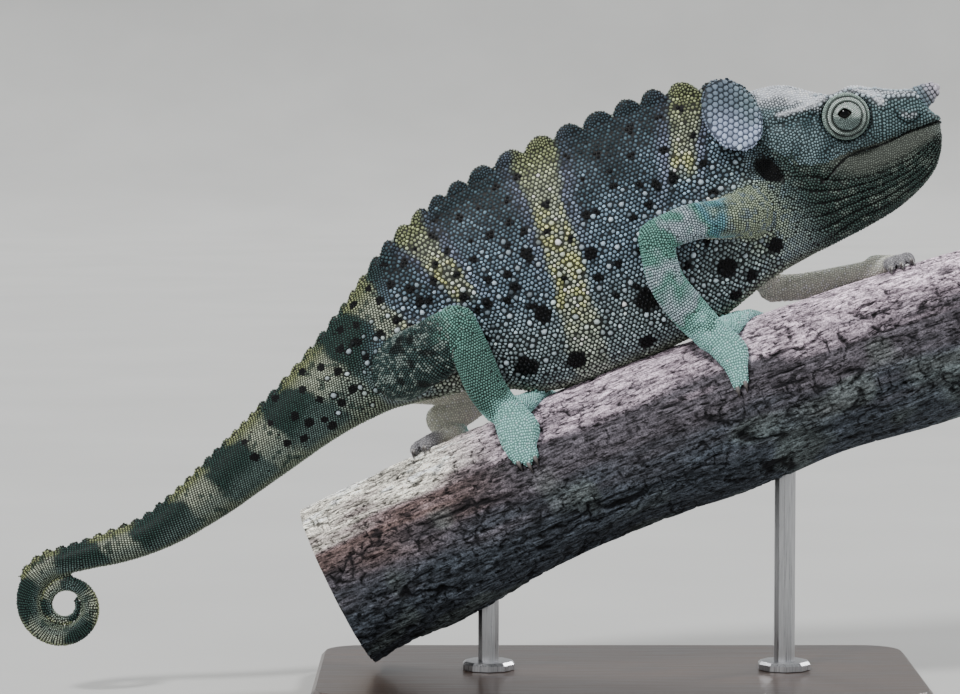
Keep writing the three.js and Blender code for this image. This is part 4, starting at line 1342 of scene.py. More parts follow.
def relief(atlas, places, points, normals):
    """How far folds, ridges and hollows stand over the smooth skin, or lie under it when negative."""
    rise = np.zeros(len(points))
    flat = points[:, [0, 2]]
    sideways = smooth_step(0.15, 0.5, np.abs(normals[:, 1]))
    head = (points[:, 0] > 96) & (points[:, 2] > 182)
    snout = smooth_step(160, 163, flat[head, 0])
    for line, width, height in HEAD_LINES:
        shown = np.maximum(sideways[head], snout) if line is MOUTH else sideways[head]
        rise[head] += height * bell(line_distance(flat[head], line), width) * shown
    gap = np.linalg.norm(flat - (NOSTRIL["x"], NOSTRIL["z"]), axis=1)
    rise += sideways * NOSTRIL["rim"] * bell(gap, 2 * NOSTRIL["radius"])
    rise -= sideways * (NOSTRIL["depth"] + NOSTRIL["rim"]) * bell(gap, NOSTRIL["radius"])
    rise -= HOLLOW["depth"] * hollow(points)
    shown, fold = pouch(places, points)
    rise += POUCH["depth"] * atlas.owned(places, "body") * shown * (fold - 0.85)
    waves = np.cos(2 * math.pi * (places.along / WRINKLES["spacing"] + noise(points, 14, 8)))
    joint = np.zeros(len(points))
    for name, limb in LIMBS.items():
        x, y, z = limb["upper"][-1][:3]
        gap = np.linalg.norm(points - (x, limb["side"] * y, z), axis=1)
        near = bell(gap, WRINKLES["reach"]) * atlas.owned(places, f"{name}_upper", f"{name}_lower")
        joint = np.maximum(joint, near)
    return rise + WRINKLES["depth"] * joint * waves


def blended(field, lofts):
    """Joins all lofts in the field, trunk first, each with the rounding of its own valleys."""
    for loft in lofts:
        field.add(loft, next(reach for part, reach in VALLEYS.items() if part in loft.name))


def eye_centre(side):
    return np.array([EYE["x"], side * EYE["y"], EYE["z"]])


def eye_ball(side):
    """The round of an eye turret as a loft."""
    polar = np.linspace(0.02, math.pi - 0.02, 48)
    return Loft("eye", ball(EYE_SIZE, polar, 72) * (1, side, side) + eye_centre(side), polar)


def quad_normals(points, quads):
    a, b, c, d = (points[quads[:, k]] for k in range(4))
    return np.cross(c - a, d - b)


def vertex_normals(points, quads):
    face = quad_normals(points, quads)
    total = np.zeros_like(points)
    for k in range(4):
        for axis in range(3):
            total[:, axis] += np.bincount(quads[:, k], face[:, axis], len(points))
    return unit(total)


class Shell:
    """A closed or open surface of points and quads that scales can stand on."""

    def __init__(self, points, quads):
        self.points = points
        self.quads = quads
        self.normals = vertex_normals(points, quads)
        self.tree = BVHTree.FromPolygons(points.tolist(), quads.tolist())

    def snapped(self, points):
        """The nearest places on the surface, their normals, and how far away they were."""
        found = [self.tree.find_nearest(p) for p in points.tolist()]
        spots = np.array([f[0][:] for f in found])
        corners = self.quads[np.array([f[2] for f in found])]
        gaps = np.array([f[3] for f in found])
        weights = 1 / (np.linalg.norm(self.points[corners] - spots[:, None], axis=2) + 0.05)
        return spots, unit((self.normals[corners] * weights[..., None]).sum(1)), gaps


class Skin(Shell):
    """The animal's one skin, and where each of its points lies on the lofts."""

    def __init__(self):
        limbs = [loft for name in LIMBS for loft in (*limb_lofts(name), *toe_lofts(name))]
        trunk = [sectioned("body", SPINE, 9), sectioned("skull", SKULL, 8), crest_loft()]
        self.lofts = [*trunk, *(lobe_loft(side) for side in SIDES.values()), *limbs]
        self.atlas = Atlas(self.lofts)
        corners = np.vstack([loft.points.reshape(-1, 3) for loft in self.lofts])
        self.field = Field(corners.min(0) - BAND * CELL, corners.max(0) + BAND * CELL)
        blended(self.field, self.lofts)
        self.branch = branch_loft()
        self.field.cut(self.branch, 0.1)
        for side in SIDES.values():
            self.field.cut(eye_ball(side), SOCKET)
        points, quads = self.field.surface(-COAT)
        self.places = self.atlas.find(points)
        normals = vertex_normals(points, quads)
        rise = relief(self.atlas, self.places, points, normals)
        super().__init__(points + normals * rise[:, None], quads)


# ---- The coat ----

# Lattices of scales: start of the lofts' names, spacing, first and last station, how they run, and how far
# the scales stray from their places and sizes, as a share of the spacing.
LATTICES = [
    ("body", 0.82, 0.1, 4.4, LINES, 0.08),
    ("body", 1.05, 4.4, 7.6, LINES, 0.08),
    ("body", 1.65, 7.6, TAIL_START, LINES, 0.09),
    ("body", 1.2, TAIL_START, 20, TIGHT, 0.05),
    ("body", 1.05, 20, COIL_START, TIGHT, 0.03),
    ("body", 0.9, COIL_START, 1e9, TIGHT, 0.03),
    ("skull", 1.2, 0, 6.2, RINGS, 0.09),
    ("skull", 1.35, 6.2, 99, RINGS, 0.05),
    ("crest", 1.1, 0, 99, RINGS, 0.09),
    ("lobe", 1.2, 0.2, 3, RINGS, 0.09),
    *((name, 1.05, 0, 99, RINGS, 0.07) for name in LIMBS),
]
TIGHT_SIZE = 0.9  # of the spacing, for scales in tight rings
FILL = 0.86  # of a lattice's spacing, between the scales that fill the gaps
KEEP = 0.74  # of a lattice's spacing, under which two of its scales are too close
# Large round scales among the others: how far apart, size, first and last station, highest and lowest share
# of the way down the flank, and how pale they are.
TUBERCLES = [
    (6.8, 2.8, 7.8, 20.5, 0.26, 0.9, 0.6),
    (4.6, 2.3, 7.8, 19.5, 0.2, 0.95, 0.3),
]
# Large plates over the flaps behind the cheeks: how far apart they are and how far they stray, how many rows,
# the bare rim, the room kept free of other scales round each one's middle, and how pale they are.
PLATES = {"spacing": 2.25, "jitter": 0.13, "rows": 15, "rim": 1.5, "clear": 1.6, "paleness": -0.8}
# Raised beads over the brows: columns of the skull's loft, its stations, how far apart, and how pale.
BEADS = {"columns": (6, 12, 84, 90), "from": 3.2, "to": 8.3, "spacing": 1.9, "paleness": 0.85}
BARE = {"bark": 0.5, "mouth": 0.55}  # how far from each there are no scales


def spacing_at(atlas, places):
    """How far apart the scales are at places on the skin."""
    spacing = np.full(len(places.owner), 1.0)
    for start, size, first, last, *_ in LATTICES:
        mine = atlas.owned(places, start) & (places.station >= first) & (places.station <= last)
        spacing[mine] = size
    return spacing


def lobe_plates():
    """Places for large plates over the outer face of each flap, in uneven rows."""
    found = []
    step, rows = PLATES["spacing"], PLATES["rows"]
    length, height = LOBE["length"] - PLATES["rim"], LOBE["height"] - PLATES["rim"]
    for side in SIDES.values():
        for k, m in np.ndindex(rows, rows):
            x, z = (m - rows // 2 + 0.5 * (k % 2)) * step, (k - rows // 2) * step * math.sqrt(3) / 2
            x, z = RNG.normal((x, z), PLATES["jitter"])
            reach = math.hypot(x / length, z / height)
            if reach < 1:
                outwards = LOBE["thickness"] * math.sqrt(1 - reach**2)
                found.append(lobe_place(np.array([x, outwards, z]), side))
    return np.array(found)


def brow_beads(skull):
    """Places for a row of raised beads over each brow, from the temple to the horn."""
    for column in BEADS["columns"]:
        line = skull.points[(skull.stations > BEADS["from"]) & (skull.stations < BEADS["to"]), column]
        run = np.append(0, np.cumsum(np.linalg.norm(np.diff(line, axis=0), axis=1)))
        at = np.arange(0, run[-1], BEADS["spacing"])
        yield np.stack([np.interp(at, run, line[:, k]) for k in range(3)], -1)


def tubercles(body, spacing, size, first, last, high, low):
    """Places for one kind of large round scale, strewn over both flanks."""
    count = 1600
    station = RNG.uniform(first, last, count)
    share = np.arccos(1 - 2 * RNG.uniform(high, low, count)) / (2 * math.pi)
    share = np.where(RNG.uniform(size=count) < 0.5, share, 1 - share)
    sites = body.at(np.interp(station, body.stations, np.arange(len(body.points))), share)
    sites = sites[thin(sites, np.full(count, spacing))]
    return sites, RNG.uniform(0.85, 1.15, len(sites)) * size


def site_groups(skin):
    """Groups of places for scales in order of rank: points, spacing, 1 if lengthwise, and paleness."""
    atlas = skin.atlas
    plates = lobe_plates()
    yield plates, RNG.uniform(1, 1.12, len(plates)) * PLATES["spacing"], 1, PLATES["paleness"]
    beads = np.vstack(list(brow_beads(atlas.lofts[atlas.names.index("skull")])))
    yield beads, RNG.uniform(0.9, 1.15, len(beads)) * BEADS["spacing"], 1, BEADS["paleness"]
    for *sizes, paleness in TUBERCLES:
        yield *tubercles(atlas.lofts[0], *sizes), 1, paleness
    for start, spacing, first, last, run, jitter in LATTICES:
        for name in atlas.names:
            if name.startswith(start):
                points, _ = atlas.lattice(name, spacing, first, last, run)
                points = points + RNG.normal(0, jitter * spacing, points.shape)
                sizes = RNG.uniform(1 - 2 * jitter, 1 + 2 * jitter, len(points)) * spacing
                yield points, sizes * (TIGHT_SIZE if run == TIGHT else 1), int(run == LINES), 0


class Coat:
    """All scales: their places on the skin, sizes and outlines."""

    def __init__(self, skin):
        groups = list(site_groups(skin))
        points = np.vstack([g[0] for g in groups])
        spacing = np.concatenate([g[1] for g in groups])
        lengthwise, paleness = (np.concatenate([np.full(len(g[0]), g[k]) for g in groups]) for k in (2, 3))
        spots, normals, gaps = skin.snapped(points)
        # Places far from the skin are on a stretch of a loft that lies inside another one.
        good = gaps < np.maximum(1.3, 0.9 * spacing)
        # The skin's own points, in any order, fill the gaps between the lattices.
        order = RNG.permutation(len(skin.points))
        filler = spacing_at(skin.atlas, skin.places.pick(order))
        self.points = np.vstack([spots[good], skin.points[order]])
        self.normals = np.vstack([normals[good], skin.normals[order]])
        self.spacing = np.concatenate([spacing[good], filler])
        self.lengthwise = np.concatenate([lengthwise[good], np.ones(len(order))])
        self.paleness = np.concatenate([paleness[good], np.zeros(len(order))])
        self.reach = np.concatenate([spacing[good] * KEEP, filler * FILL])
        self.keep(self.clear(skin))
        self.keep(thin(self.points, self.reach))
        self.places = skin.atlas.find(self.points)
        self.tangents = self.directions(skin.atlas)

    def keep(self, which):
        for key in ("points", "normals", "spacing", "lengthwise", "paleness", "reach"):
            setattr(self, key, getattr(self, key)[which])

    def clear(self, skin):
        """Which places are free of the bark, the mouth, the large plates and the eyes' sockets."""
        field = Field(skin.points.min(0), skin.points.max(0))
        field.add(skin.branch, 0.01)
        free = field.sample(self.points) > BARE["bark"]
        free &= mouth_gap(self.points) > BARE["mouth"]
        plate = self.paleness == PLATES["paleness"]
        plates = tree_of(self.points[plate])
        near = np.array([plates.find(p)[2] for p in self.points.tolist()])
        free &= plate | (near > PLATES["clear"])
        for side in SIDES.values():
            off = np.linalg.norm((self.points - eye_centre(side)) / EYE_SIZE, axis=1)
            free &= off > 1.02 + SOCKET / EYE["radius"]
        return free

    def directions(self, atlas):
        """The direction on the skin that each scale's lattice runs in."""
        result = np.zeros_like(self.points)
        for owner, loft in enumerate(atlas.lofts):
            mine = self.places.owner == owner
            if not mine.any():
                continue
            rows, columns = loft.points.shape[0], loft.points.shape[1] - 1
            i = np.interp(self.places.along[mine], loft.along, np.arange(rows)).astype(int).clip(0, rows - 2)
            j = (self.places.angle[mine] / (2 * math.pi) * columns).astype(int) % columns
            here = loft.points[i, j]
            lengths = loft.points[i + 1, j] - here
            rounds = loft.points[i, j + 1] - here
            result[mine] = np.where(self.lengthwise[mine, None] > 0.5, unit(lengths), unit(rounds))
        flat = result - self.normals * (result * self.normals).sum(1)[:, None]
        spare = np.cross(self.normals, (0.3, 0.2, 0.9))
        return unit(np.where(np.linalg.norm(flat, axis=1, keepdims=True) > 0.1, flat, spare))


# Regions of the coat: name, material slot, starts of the lofts' names, and first and last station there. The
# stations count only where the region takes a part of the body.
REGIONS = [
    ("lobes", "skin_head", ("lobe",), (9, 9)),
    ("head", "skin_head", ("skull",), (9, 9)),
    ("throat", "skin_throat", ("body",), (-1, NECK_START)),
    ("trunk", "skin_body", ("body", "crest"), (NECK_START, TAIL_START)),
    ("tail", "skin_tail", ("body", "crest"), (TAIL_START, 999)),
    ("front_legs", "skin_limb", ("front_",), (9, 9)),
    ("hind_legs", "skin_limb", ("hind_",), (9, 9)),
]
COAT_LIMIT = 10800  # scales in one piece
# Rings of the scales' and plates' domes: share of the radius, share of the height, and painted shade, which
# paints each scale dark at its rim, where the gaps between scales lie in shade, and in full colour at its
# top.
SCALE_RINGS = [(0.84, -0.25, 0.03), (0.6, 0.64, 0.85)]
PLATE_RINGS = [(0.96, -0.25, 0.1), (0.84, 0.45, 0.75), (0.55, 0.85, 1)]


def shades(count, places, atlas):
    """How bright each scale is beside its neighbours. They differ most over the trunk."""
    trunk = (places.station > NECK_START) & (places.station < TAIL_START)
    spread = np.where(atlas.owned(places, "body") & trunk, 0.4, 0.16)
    return np.exp(RNG.normal(0, 1, count) * spread)


def coat_pieces(skin, coat, material):
    """The scales as joined meshes, each with a limited number of them."""
    atlas, places = skin.atlas, coat.places
    colours = paint(atlas, places, coat.points)
    colours = mixed(colours, INK["pearl"], coat.paleness.clip(0) * (1 - spotted(coat.points)))
    colours = np.clip(colours * shades(len(colours), places, atlas)[:, None], 0, 1)
    radius = coat.spacing / 2
    heights = radius * (0.62 + 0.3 * coat.paleness)
    limits = outlines(coat.points, coat.normals, coat.tangents, radius)
    done = np.zeros(len(colours), bool)
    for name, slot, starts, (first, last) in REGIONS:
        mine = atlas.owned(places, *starts) & ~done
        if "body" in starts:
            mine &= (places.station >= first) & (places.station < last)
        done |= mine
        which = np.flatnonzero(mine)
        which = which[np.lexsort([places.along[which], places.owner[which]])]
        profile = PLATE_RINGS if name == "lobes" else SCALE_RINGS
        for number, start in enumerate(range(0, len(which), COAT_LIMIT), 1):
            part = which[start:start + COAT_LIMIT]
            sites = coat.points[part], coat.normals[part], coat.tangents[part]
            charts = packed(places.pick(part))
            scales = domes(*sites, limits[part], heights[part], colours[part], charts, profile)
            piece(mesh_of(f"scales_{name}_{number}", *scales), material, slot)


# ---- Materials ----


class Finish:
    """A material's nodes. Numbers that are the same all over are set on the shader's own sockets."""

    def __init__(self, name, **constants):
        self.material = bpy.data.materials.new(name)
        self.material.use_nodes = True
        self.nodes = self.material.node_tree.nodes
        self.links = self.material.node_tree.links
        self.shader = self.nodes["Principled BSDF"]
        for socket, value in constants.items():
            self.shader.inputs[socket.replace("_", " ")].default_value = value
        self.place = self.nodes.new("ShaderNodeTexCoord").outputs["Object"]

    def link(self, output, node, socket):
        self.links.new(output, node.inputs[socket])

    def stretched(self, scale, turn=(0, 0, 0)):
        """The object's coordinates in metres, turned back by turn and then times scale."""
        node = self.nodes.new("ShaderNodeMapping")
        node.vector_type = "TEXTURE"
        node.inputs["Scale"].default_value = [1 / v for v in scale]
        node.inputs["Rotation"].default_value = [math.radians(v) for v in turn]
        self.link(self.place, node, "Vector")
        return node.outputs["Vector"]

    def noise(self, size, detail=3.0, place=None, roughness=0.55):
        """Noise from 0 to 1 with blobs of about that size in millimetres."""
        node = self.nodes.new("ShaderNodeTexNoise")
        node.inputs["Scale"].default_value = 1 / (size * MM)
        node.inputs["Detail"].default_value = detail
        node.inputs["Roughness"].default_value = roughness
        self.link(place or self.place, node, "Vector")
        return node.outputs["Fac"]

    def ramp(self, value, stops):
        """A colour or grey for each value, through (place, colour) stops."""
        node = self.nodes.new("ShaderNodeValToRGB")
        elements = node.color_ramp.elements
        while len(elements) < len(stops):
            elements.new(0.5)
        for element, (place, colour) in zip(elements, stops, strict=True):
            element.position = place
            element.color = (*(colour if np.ndim(colour) else [colour] * 3), 1)
        self.link(value, node, "Fac")
        return node.outputs["Color"]

    def times(self, first, second):
        """The product of two colours."""
        node = self.nodes.new("ShaderNodeMix")
        node.data_type = "RGBA"
        node.blend_type = "MULTIPLY"
        node.inputs["Factor"].default_value = 1
        colours_in = [socket for socket in node.inputs if socket.type == "RGBA"]
        colours_out = [socket for socket in node.outputs if socket.type == "RGBA"]
        self.links.new(first, colours_in[0])
        self.links.new(second, colours_in[1])
        return colours_out[0]

    def marking(self):
        node = self.nodes.new("ShaderNodeAttribute")
        node.attribute_name = "Marking"
        return node.outputs["Color"]

    def colour(self, output):
        self.link(output, self.shader, "Base Color")

    def roughness(self, value, low, high):
        self.link(self.ramp(value, [(0.3, low), (0.7, high)]), self.shader, "Roughness")

    def bump(self, value, height, strength=1.0):
        """Adds a bump of that height in millimetres on top of those already made."""
        node = self.nodes.new("ShaderNodeBump")
        node.inputs["Strength"].default_value = strength
        node.inputs["Distance"].default_value = height * MM
        self.link(value, node, "Height")
        normal = self.shader.inputs["Normal"]
        if normal.links:
            self.links.new(normal.links[0].from_socket, node.inputs["Normal"])
        self.link(node.outputs["Normal"], self.shader, "Normal")


def grained(name, size, detail, tones, gloss, bump, stretch=None, **constants):
    """A material in the colours of Marking, varied by one noise that also sets its roughness and bump."""
    finish = Finish(name, **constants)
    grain = finish.noise(size, detail, stretch and finish.stretched(stretch))
    dark, pale = tones
    finish.colour(finish.times(finish.marking(), finish.ramp(grain, [(0.3, dark), (0.7, pale)])))
    finish.roughness(grain, *gloss)
    if bump:
        finish.bump(grain, bump)
    return finish.material


def skin_finish():
    """Dry, fine-pored skin between and on the scales."""
    return grained("skin", 0.35, 4, (0.72, 1), (0.4, 0.62), 0.05, Specular_IOR_Level=0.16)


def horn_finish():
    return grained("horn", 0.6, 5, (0.75, 1), (0.3, 0.5), 0.06, Specular_IOR_Level=0.5)


def claw_finish():
    return grained("claw", 0.3, 4, (0.7, 1), (0.22, 0.42), 0.03, Specular_IOR_Level=0.55)


def eyeball_finish():
    """Wet and smooth."""
    wet = {"Specular_IOR_Level": 0.1, "Coat_Weight": 0.15, "Coat_Roughness": 0.03}
    return grained("eyeball", 0.25, 4, (0.6, 1), (0.08, 0.16), 0, **wet)


def bark_finish():
    """Dry bark, whose fibres and flecks run along the branch."""
    finish = Finish("bark", Specular_IOR_Level=0.2)
    slope = (0, -BRANCH["slope"], 0)
    grain = finish.noise(0.7, 6, roughness=0.7)
    fibres = finish.noise(1.2, 6, finish.stretched((0.22, 1, 1), slope), 0.65)
    flecks = finish.noise(0.8, 3, finish.stretched((0.25, 1, 1), slope), 0.6)
    tone = finish.ramp(grain, [(0.38, 0.4), (0.6, 1.4)])
    tone = finish.times(tone, finish.ramp(fibres, [(0.38, 0.45), (0.6, 1.4)]))
    tone = finish.times(tone, finish.ramp(flecks, [(0.38, 0.12), (0.5, 1.1)]))
    finish.colour(finish.times(finish.marking(), tone))
    finish.roughness(grain, 0.8, 0.97)
    for layer, height in ((grain, 0.4), (fibres, 0.5), (flecks, 0.4)):
        finish.bump(layer, height)
    return finish.material


def sawn_finish():
    """The sawn end of a branch: pale wood with fine saw marks. Its growth rings are in Marking."""
    return grained("sawn_wood", 0.5, 5, (0.8, 1.05), (0.6, 0.8), 0.15, (1, 0.12, 1), Specular_IOR_Level=0.25)


def base_finish():
    """Dark stained wood under satin lacquer."""
    finish = Finish("stained_wood", Specular_IOR_Level=0.5, Coat_Weight=0.35, Coat_Roughness=0.18)
    grain = finish.noise(2.2, 7, finish.stretched((0.06, 1, 0.4)), 0.6)
    pores = finish.noise(0.5, 3, finish.stretched((0.05, 1, 1)))
    wood = finish.ramp(grain, [(0.3, srgb(30, 22, 18)), (0.72, srgb(74, 52, 38))])
    finish.colour(finish.times(wood, finish.ramp(pores, [(0.35, 0.7), (0.6, 1)])))
    finish.roughness(grain, 0.34, 0.48)
    finish.bump(pores, 0.06)
    return finish.material


def rod_finish():
    """Brushed steel."""
    finish = Finish("brushed_steel", Metallic=1.0)
    strokes = finish.noise(0.4, 4, finish.stretched((1, 1, 0.03)))
    finish.colour(finish.ramp(strokes, [(0.3, srgb(150, 151, 154)), (0.7, srgb(190, 190, 192))]))
    finish.roughness(strokes, 0.24, 0.4)
    finish.bump(strokes, 0.02)
    return finish.material


def floor_finish():
    finish = Finish("studio_floor", Specular_IOR_Level=0.1)
    cloud = finish.noise(180, 3)
    finish.colour(finish.ramp(cloud, [(0.3, srgb(168, 168, 166)), (0.7, srgb(174, 174, 172))]))
    finish.roughness(cloud, 0.8, 0.9)
    return finish.material


# ---- Eyes ----

GAZE = (-0.14, 1, 0.14)  # forwards, outwards, up
# The slit between the lids. Its lip goes in by steps, as shares of the lip's depth.
SLIT = {"width": 2.7, "height": 2, "power": 1.35, "tilt": 8, "lip": 0.9, "steps": (1, 0.55, 0.2)}
# A turret's grid, how many degrees it reaches back from its gaze, how far its skin lies under its scales, and
# how bright its skin is painted beside them, as painted shade between the granules.
TURRET = {"rows": 88, "columns": 144, "reach": 104, "sunk": 0.25, "painted_groove_shade": 0.22}
# Rings of folds round a turret: angle from its axis, width in degrees, height.
TURRET_RINGS = [
    (88, 6, 0.3),
    (74, 5, 0.45),
    (62, 5, -1.4),
    (54.5, 4.5, 0.45),
    (42, 3.6, -1),
    (36, 3, 0.25),
]
EYE_SCALE = 0.66
# The turret's inks. The dark one is painted shade on its lower side, and the grooves' one is painted shade in
# its ring folds.
EYE_INK = {
    "pale": srgb(232, 250, 240),
    "mid": srgb(180, 206, 196),
    "dark": srgb(84, 104, 104),
    "painted_groove_shade": srgb(10, 16, 18),
}
# The eyeball: its radius, how far it lies under the lids, the radii of its pupil and iris, and its grid.
BALL = {"radius": 4.2, "sunk": 0.75, "pupil": 1.45, "iris": 2.1, "rows": 28, "columns": 48}


def eye_frame(side):
    """The turret's centre, its gaze, and the directions forwards and up across the gaze."""
    gaze = unit(np.array([GAZE[0], side * GAZE[1], GAZE[2]]))
    forwards = unit(np.cross((0, 0, 1), gaze) * side * -1)
    up = unit(np.cross(gaze, forwards) * side)
    if up[2] < 0:
        up = -up
    return eye_centre(side), gaze, forwards, up


def directions_at(side, polar, phi):
    """Directions at angles from an eye's gaze, and round it."""
    _, gaze, forwards, up = eye_frame(side)
    return (
        np.cos(polar)[..., None] * gaze
        + (np.sin(polar) * np.cos(phi))[..., None] * forwards
        + (np.sin(polar) * np.sin(phi))[..., None] * up
    )


def slit_share(forwards, up, margin=0):
    """Below 1 inside the slit between the lids with a margin round it, for places across the gaze."""
    power = SLIT["power"]
    across = (np.abs(forwards) / (SLIT["width"] + margin)) ** power
    return across + (np.abs(up) / (SLIT["height"] + margin)) ** power


def outward(points, quads, centre):
    """The quads, turned over if they face the centre."""
    facing = ((points - centre) * vertex_normals(points, quads)).sum(1).mean()
    return quads[:, ::-1] if facing < 0 else quads


def turret_angle(directions, side):
    """Degrees between directions and the turret's axis, with the folds' small waves."""
    angle = np.degrees(np.arccos(np.clip(directions[..., 1] * side, -1, 1)))
    waves = noise(directions.reshape(-1, 3), 0.45, 21).reshape(angle.shape) - 0.5
    return angle + 6 * waves * smooth_step(25, 50, angle)


def paint_turret(directions, side):
    """The turret's colours: pale above the slit, with painted shade under it, on the turret's lower side and
    in its grooves.
    """
    angle = turret_angle(directions, side)
    cap = 1 - smooth_step(38, 42, angle)
    low = smooth_step(-0.12, 0.16, -directions[..., 2])
    below = smooth_step(0.1, 0.9, -directions[..., 2] + 0.3 * directions[..., 0])
    return layered(
        EYE_INK["pale"],
        (EYE_INK["mid"], smooth_step(40, 90, angle)),
        (EYE_INK["dark"], cap * low * 0.8),
        (EYE_INK["dark"], 0.5 * below),
        (EYE_INK["painted_groove_shade"], turret_grooves(angle)),
    )


def turret_grooves(angle):
    """How far angles from the turret's axis are inside its dark grooves."""
    deep = [-height / 0.8 * bell(angle - at, 1.1 * width) for at, width, height in TURRET_RINGS if height < 0]
    return np.clip(np.max(deep, axis=0), 0, 1)


def turret(side):
    """An eye turret: a round of fused lids with ring folds and a slit that the eyeball looks out of."""
    centre, gaze, _, _ = eye_frame(side)
    rows, columns = TURRET["rows"], TURRET["columns"]
    tilt = math.radians(SLIT["tilt"])
    phi = ring_angles(columns)[:-1][None] + tilt
    slit = slit_share(np.cos(phi - tilt), np.sin(phi - tilt)) ** (-1 / SLIT["power"]) / EYE["radius"]
    share = np.linspace(0, 1, rows)[:, None]
    polar = slit + (math.radians(TURRET["reach"]) - slit) * share
    directions = directions_at(side, polar, phi)
    angle = turret_angle(directions, side)
    rise = sum(height * bell(angle - at, width) for at, width, height in TURRET_RINGS) - TURRET["sunk"]
    rise = rise + 0.3 * bell((polar - slit) * EYE["radius"], 0.7)
    points = centre + directions * EYE_SIZE + unit(directions / EYE_SIZE) * rise[..., None]
    lip = []
    for depth in SLIT["steps"]:
        inner = points[0] - gaze * SLIT["lip"] * depth
        lip.append(inner + (centre + gaze * ((inner - centre) @ gaze)[:, None] - inner) * 0.1 * depth)
    points = np.vstack([np.stack(lip), points]).reshape(-1, 3)
    quads = outward(points, grid_quads(rows + len(lip), columns, closed=True), centre)
    colours = paint_turret(unit((points - centre) / EYE_SIZE), side)
    # Painted shade: near black inside the slit's lip, and darker on the skin under the granules.
    inside = np.arange(len(colours)) < len(lip) * columns
    colours *= np.where(inside, 0.05, TURRET["painted_groove_shade"])[:, None]
    return Shell(points, quads), colours


def turret_directions(side):
    """Directions from an eye's centre to close-packed rings of granules round the Y axis."""
    step = math.degrees(EYE_SCALE * math.sqrt(3) / 2 / EYE["radius"])
    for k, angle in enumerate(np.radians(np.arange(0.5 * step, 88, step))):
        ring = math.sin(angle)
        count = max(1, round(2 * math.pi * EYE["radius"] * ring / EYE_SCALE))
        phi = 2 * math.pi * (np.arange(count) + 0.5 * (k % 2)) / count
        outwards = np.full(count, side * math.cos(angle))
        yield np.stack([ring * np.cos(phi), outwards, ring * np.sin(phi)], -1)


def turret_scales(shell, side, material, name):
    """Fine granules over a turret, apart from its slit and deep grooves."""
    centre, gaze, forwards, up = eye_frame(side)
    directions = np.vstack(list(turret_directions(side)))
    points, normals, gaps = shell.snapped(centre + directions * EYE_SIZE)
    off = points - centre
    x, z = off @ forwards, off @ up
    tilt = math.radians(SLIT["tilt"])
    x, z = x * math.cos(tilt) + z * math.sin(tilt), z * math.cos(tilt) - x * math.sin(tilt)
    over_slit = (slit_share(x, z, margin=0.35) < 1) & (off @ gaze > 0)
    kept = (gaps < 0.8) & ~over_slit & (turret_grooves(turret_angle(directions, side)) < 0.75)
    points, normals, directions = points[kept], normals[kept], directions[kept]
    tangents = unit(np.cross(normals, (0, side, 0)) + 1e-6)
    radius = np.full(len(points), EYE_SCALE / 2)
    colours = paint_turret(directions, side) * np.exp(RNG.normal(0, 0.24, len(points)))[:, None]
    limits = outlines(points, normals, tangents, radius)
    charts = 0.5 + 0.45 * directions[:, [0, 2]]
    sites = points, normals, tangents, limits, radius * 0.55
    scales = domes(*sites, np.clip(colours, 0, 1), charts, SCALE_RINGS)
    piece(mesh_of(f"eye_scales_{name}", *scales), material, "eye")


def eyeball(side, material, name):
    """The front of the ball, with a black pupil and a thin brown iris."""
    centre, gaze, _, _ = eye_frame(side)
    middle = centre + gaze * (EYE["depth"] - BALL["sunk"] - BALL["radius"])
    rows, columns = BALL["rows"], BALL["columns"]
    polar = np.linspace(0.01, 1.5, rows)[:, None]
    directions = directions_at(side, polar, ring_angles(columns)[:-1][None])
    out = np.broadcast_to(np.sin(polar) * BALL["radius"], directions.shape[:2])
    iris = smooth_step(BALL["pupil"] - 0.1, BALL["pupil"] + 0.1, out)
    iris = iris * (1 - smooth_step(BALL["iris"] - 0.1, BALL["iris"] + 0.2, out))
    colours = mixed(srgb(4, 4, 6), srgb(26, 22, 18), iris)
    points = (middle + directions * BALL["radius"]).reshape(-1, 3)
    quads = outward(points, grid_quads(rows, columns, closed=True), middle)
    piece(mesh_of(f"eyeball_{name}", points, quads, colours.reshape(-1, 3)), material, "eye")


def make_eyes(skin_material):
    wet = eyeball_finish()
    for name, side in SIDES.items():
        shell, colours = turret(side)
        mesh = mesh_of(f"turret_{name}", shell.points, shell.quads, colours)
        piece(mesh, skin_material, "eye", [f"eye_{name}"])
        turret_scales(shell, side, skin_material, name)
        eyeball(side, wet, name)


# ---- Horn and claws ----


def horn_loft(base, axis, length):
    """The horn's blunt cone, a little flat from side to side and bent up towards its tip."""
    rows = []
    for share, radius in (*HORN_RADII, (1 - 0.5 * HORN["tip_radius"] / length, HORN["tip_radius"])):
        x, z = base[0] + axis[0] * share, base[2] + axis[2] * share + HORN["lift"] * max(0, share - 0.5)
        rows.append((x, 0, z, radius, HORN["flatness"] * radius))
    return tube("horn", rows, columns=48)


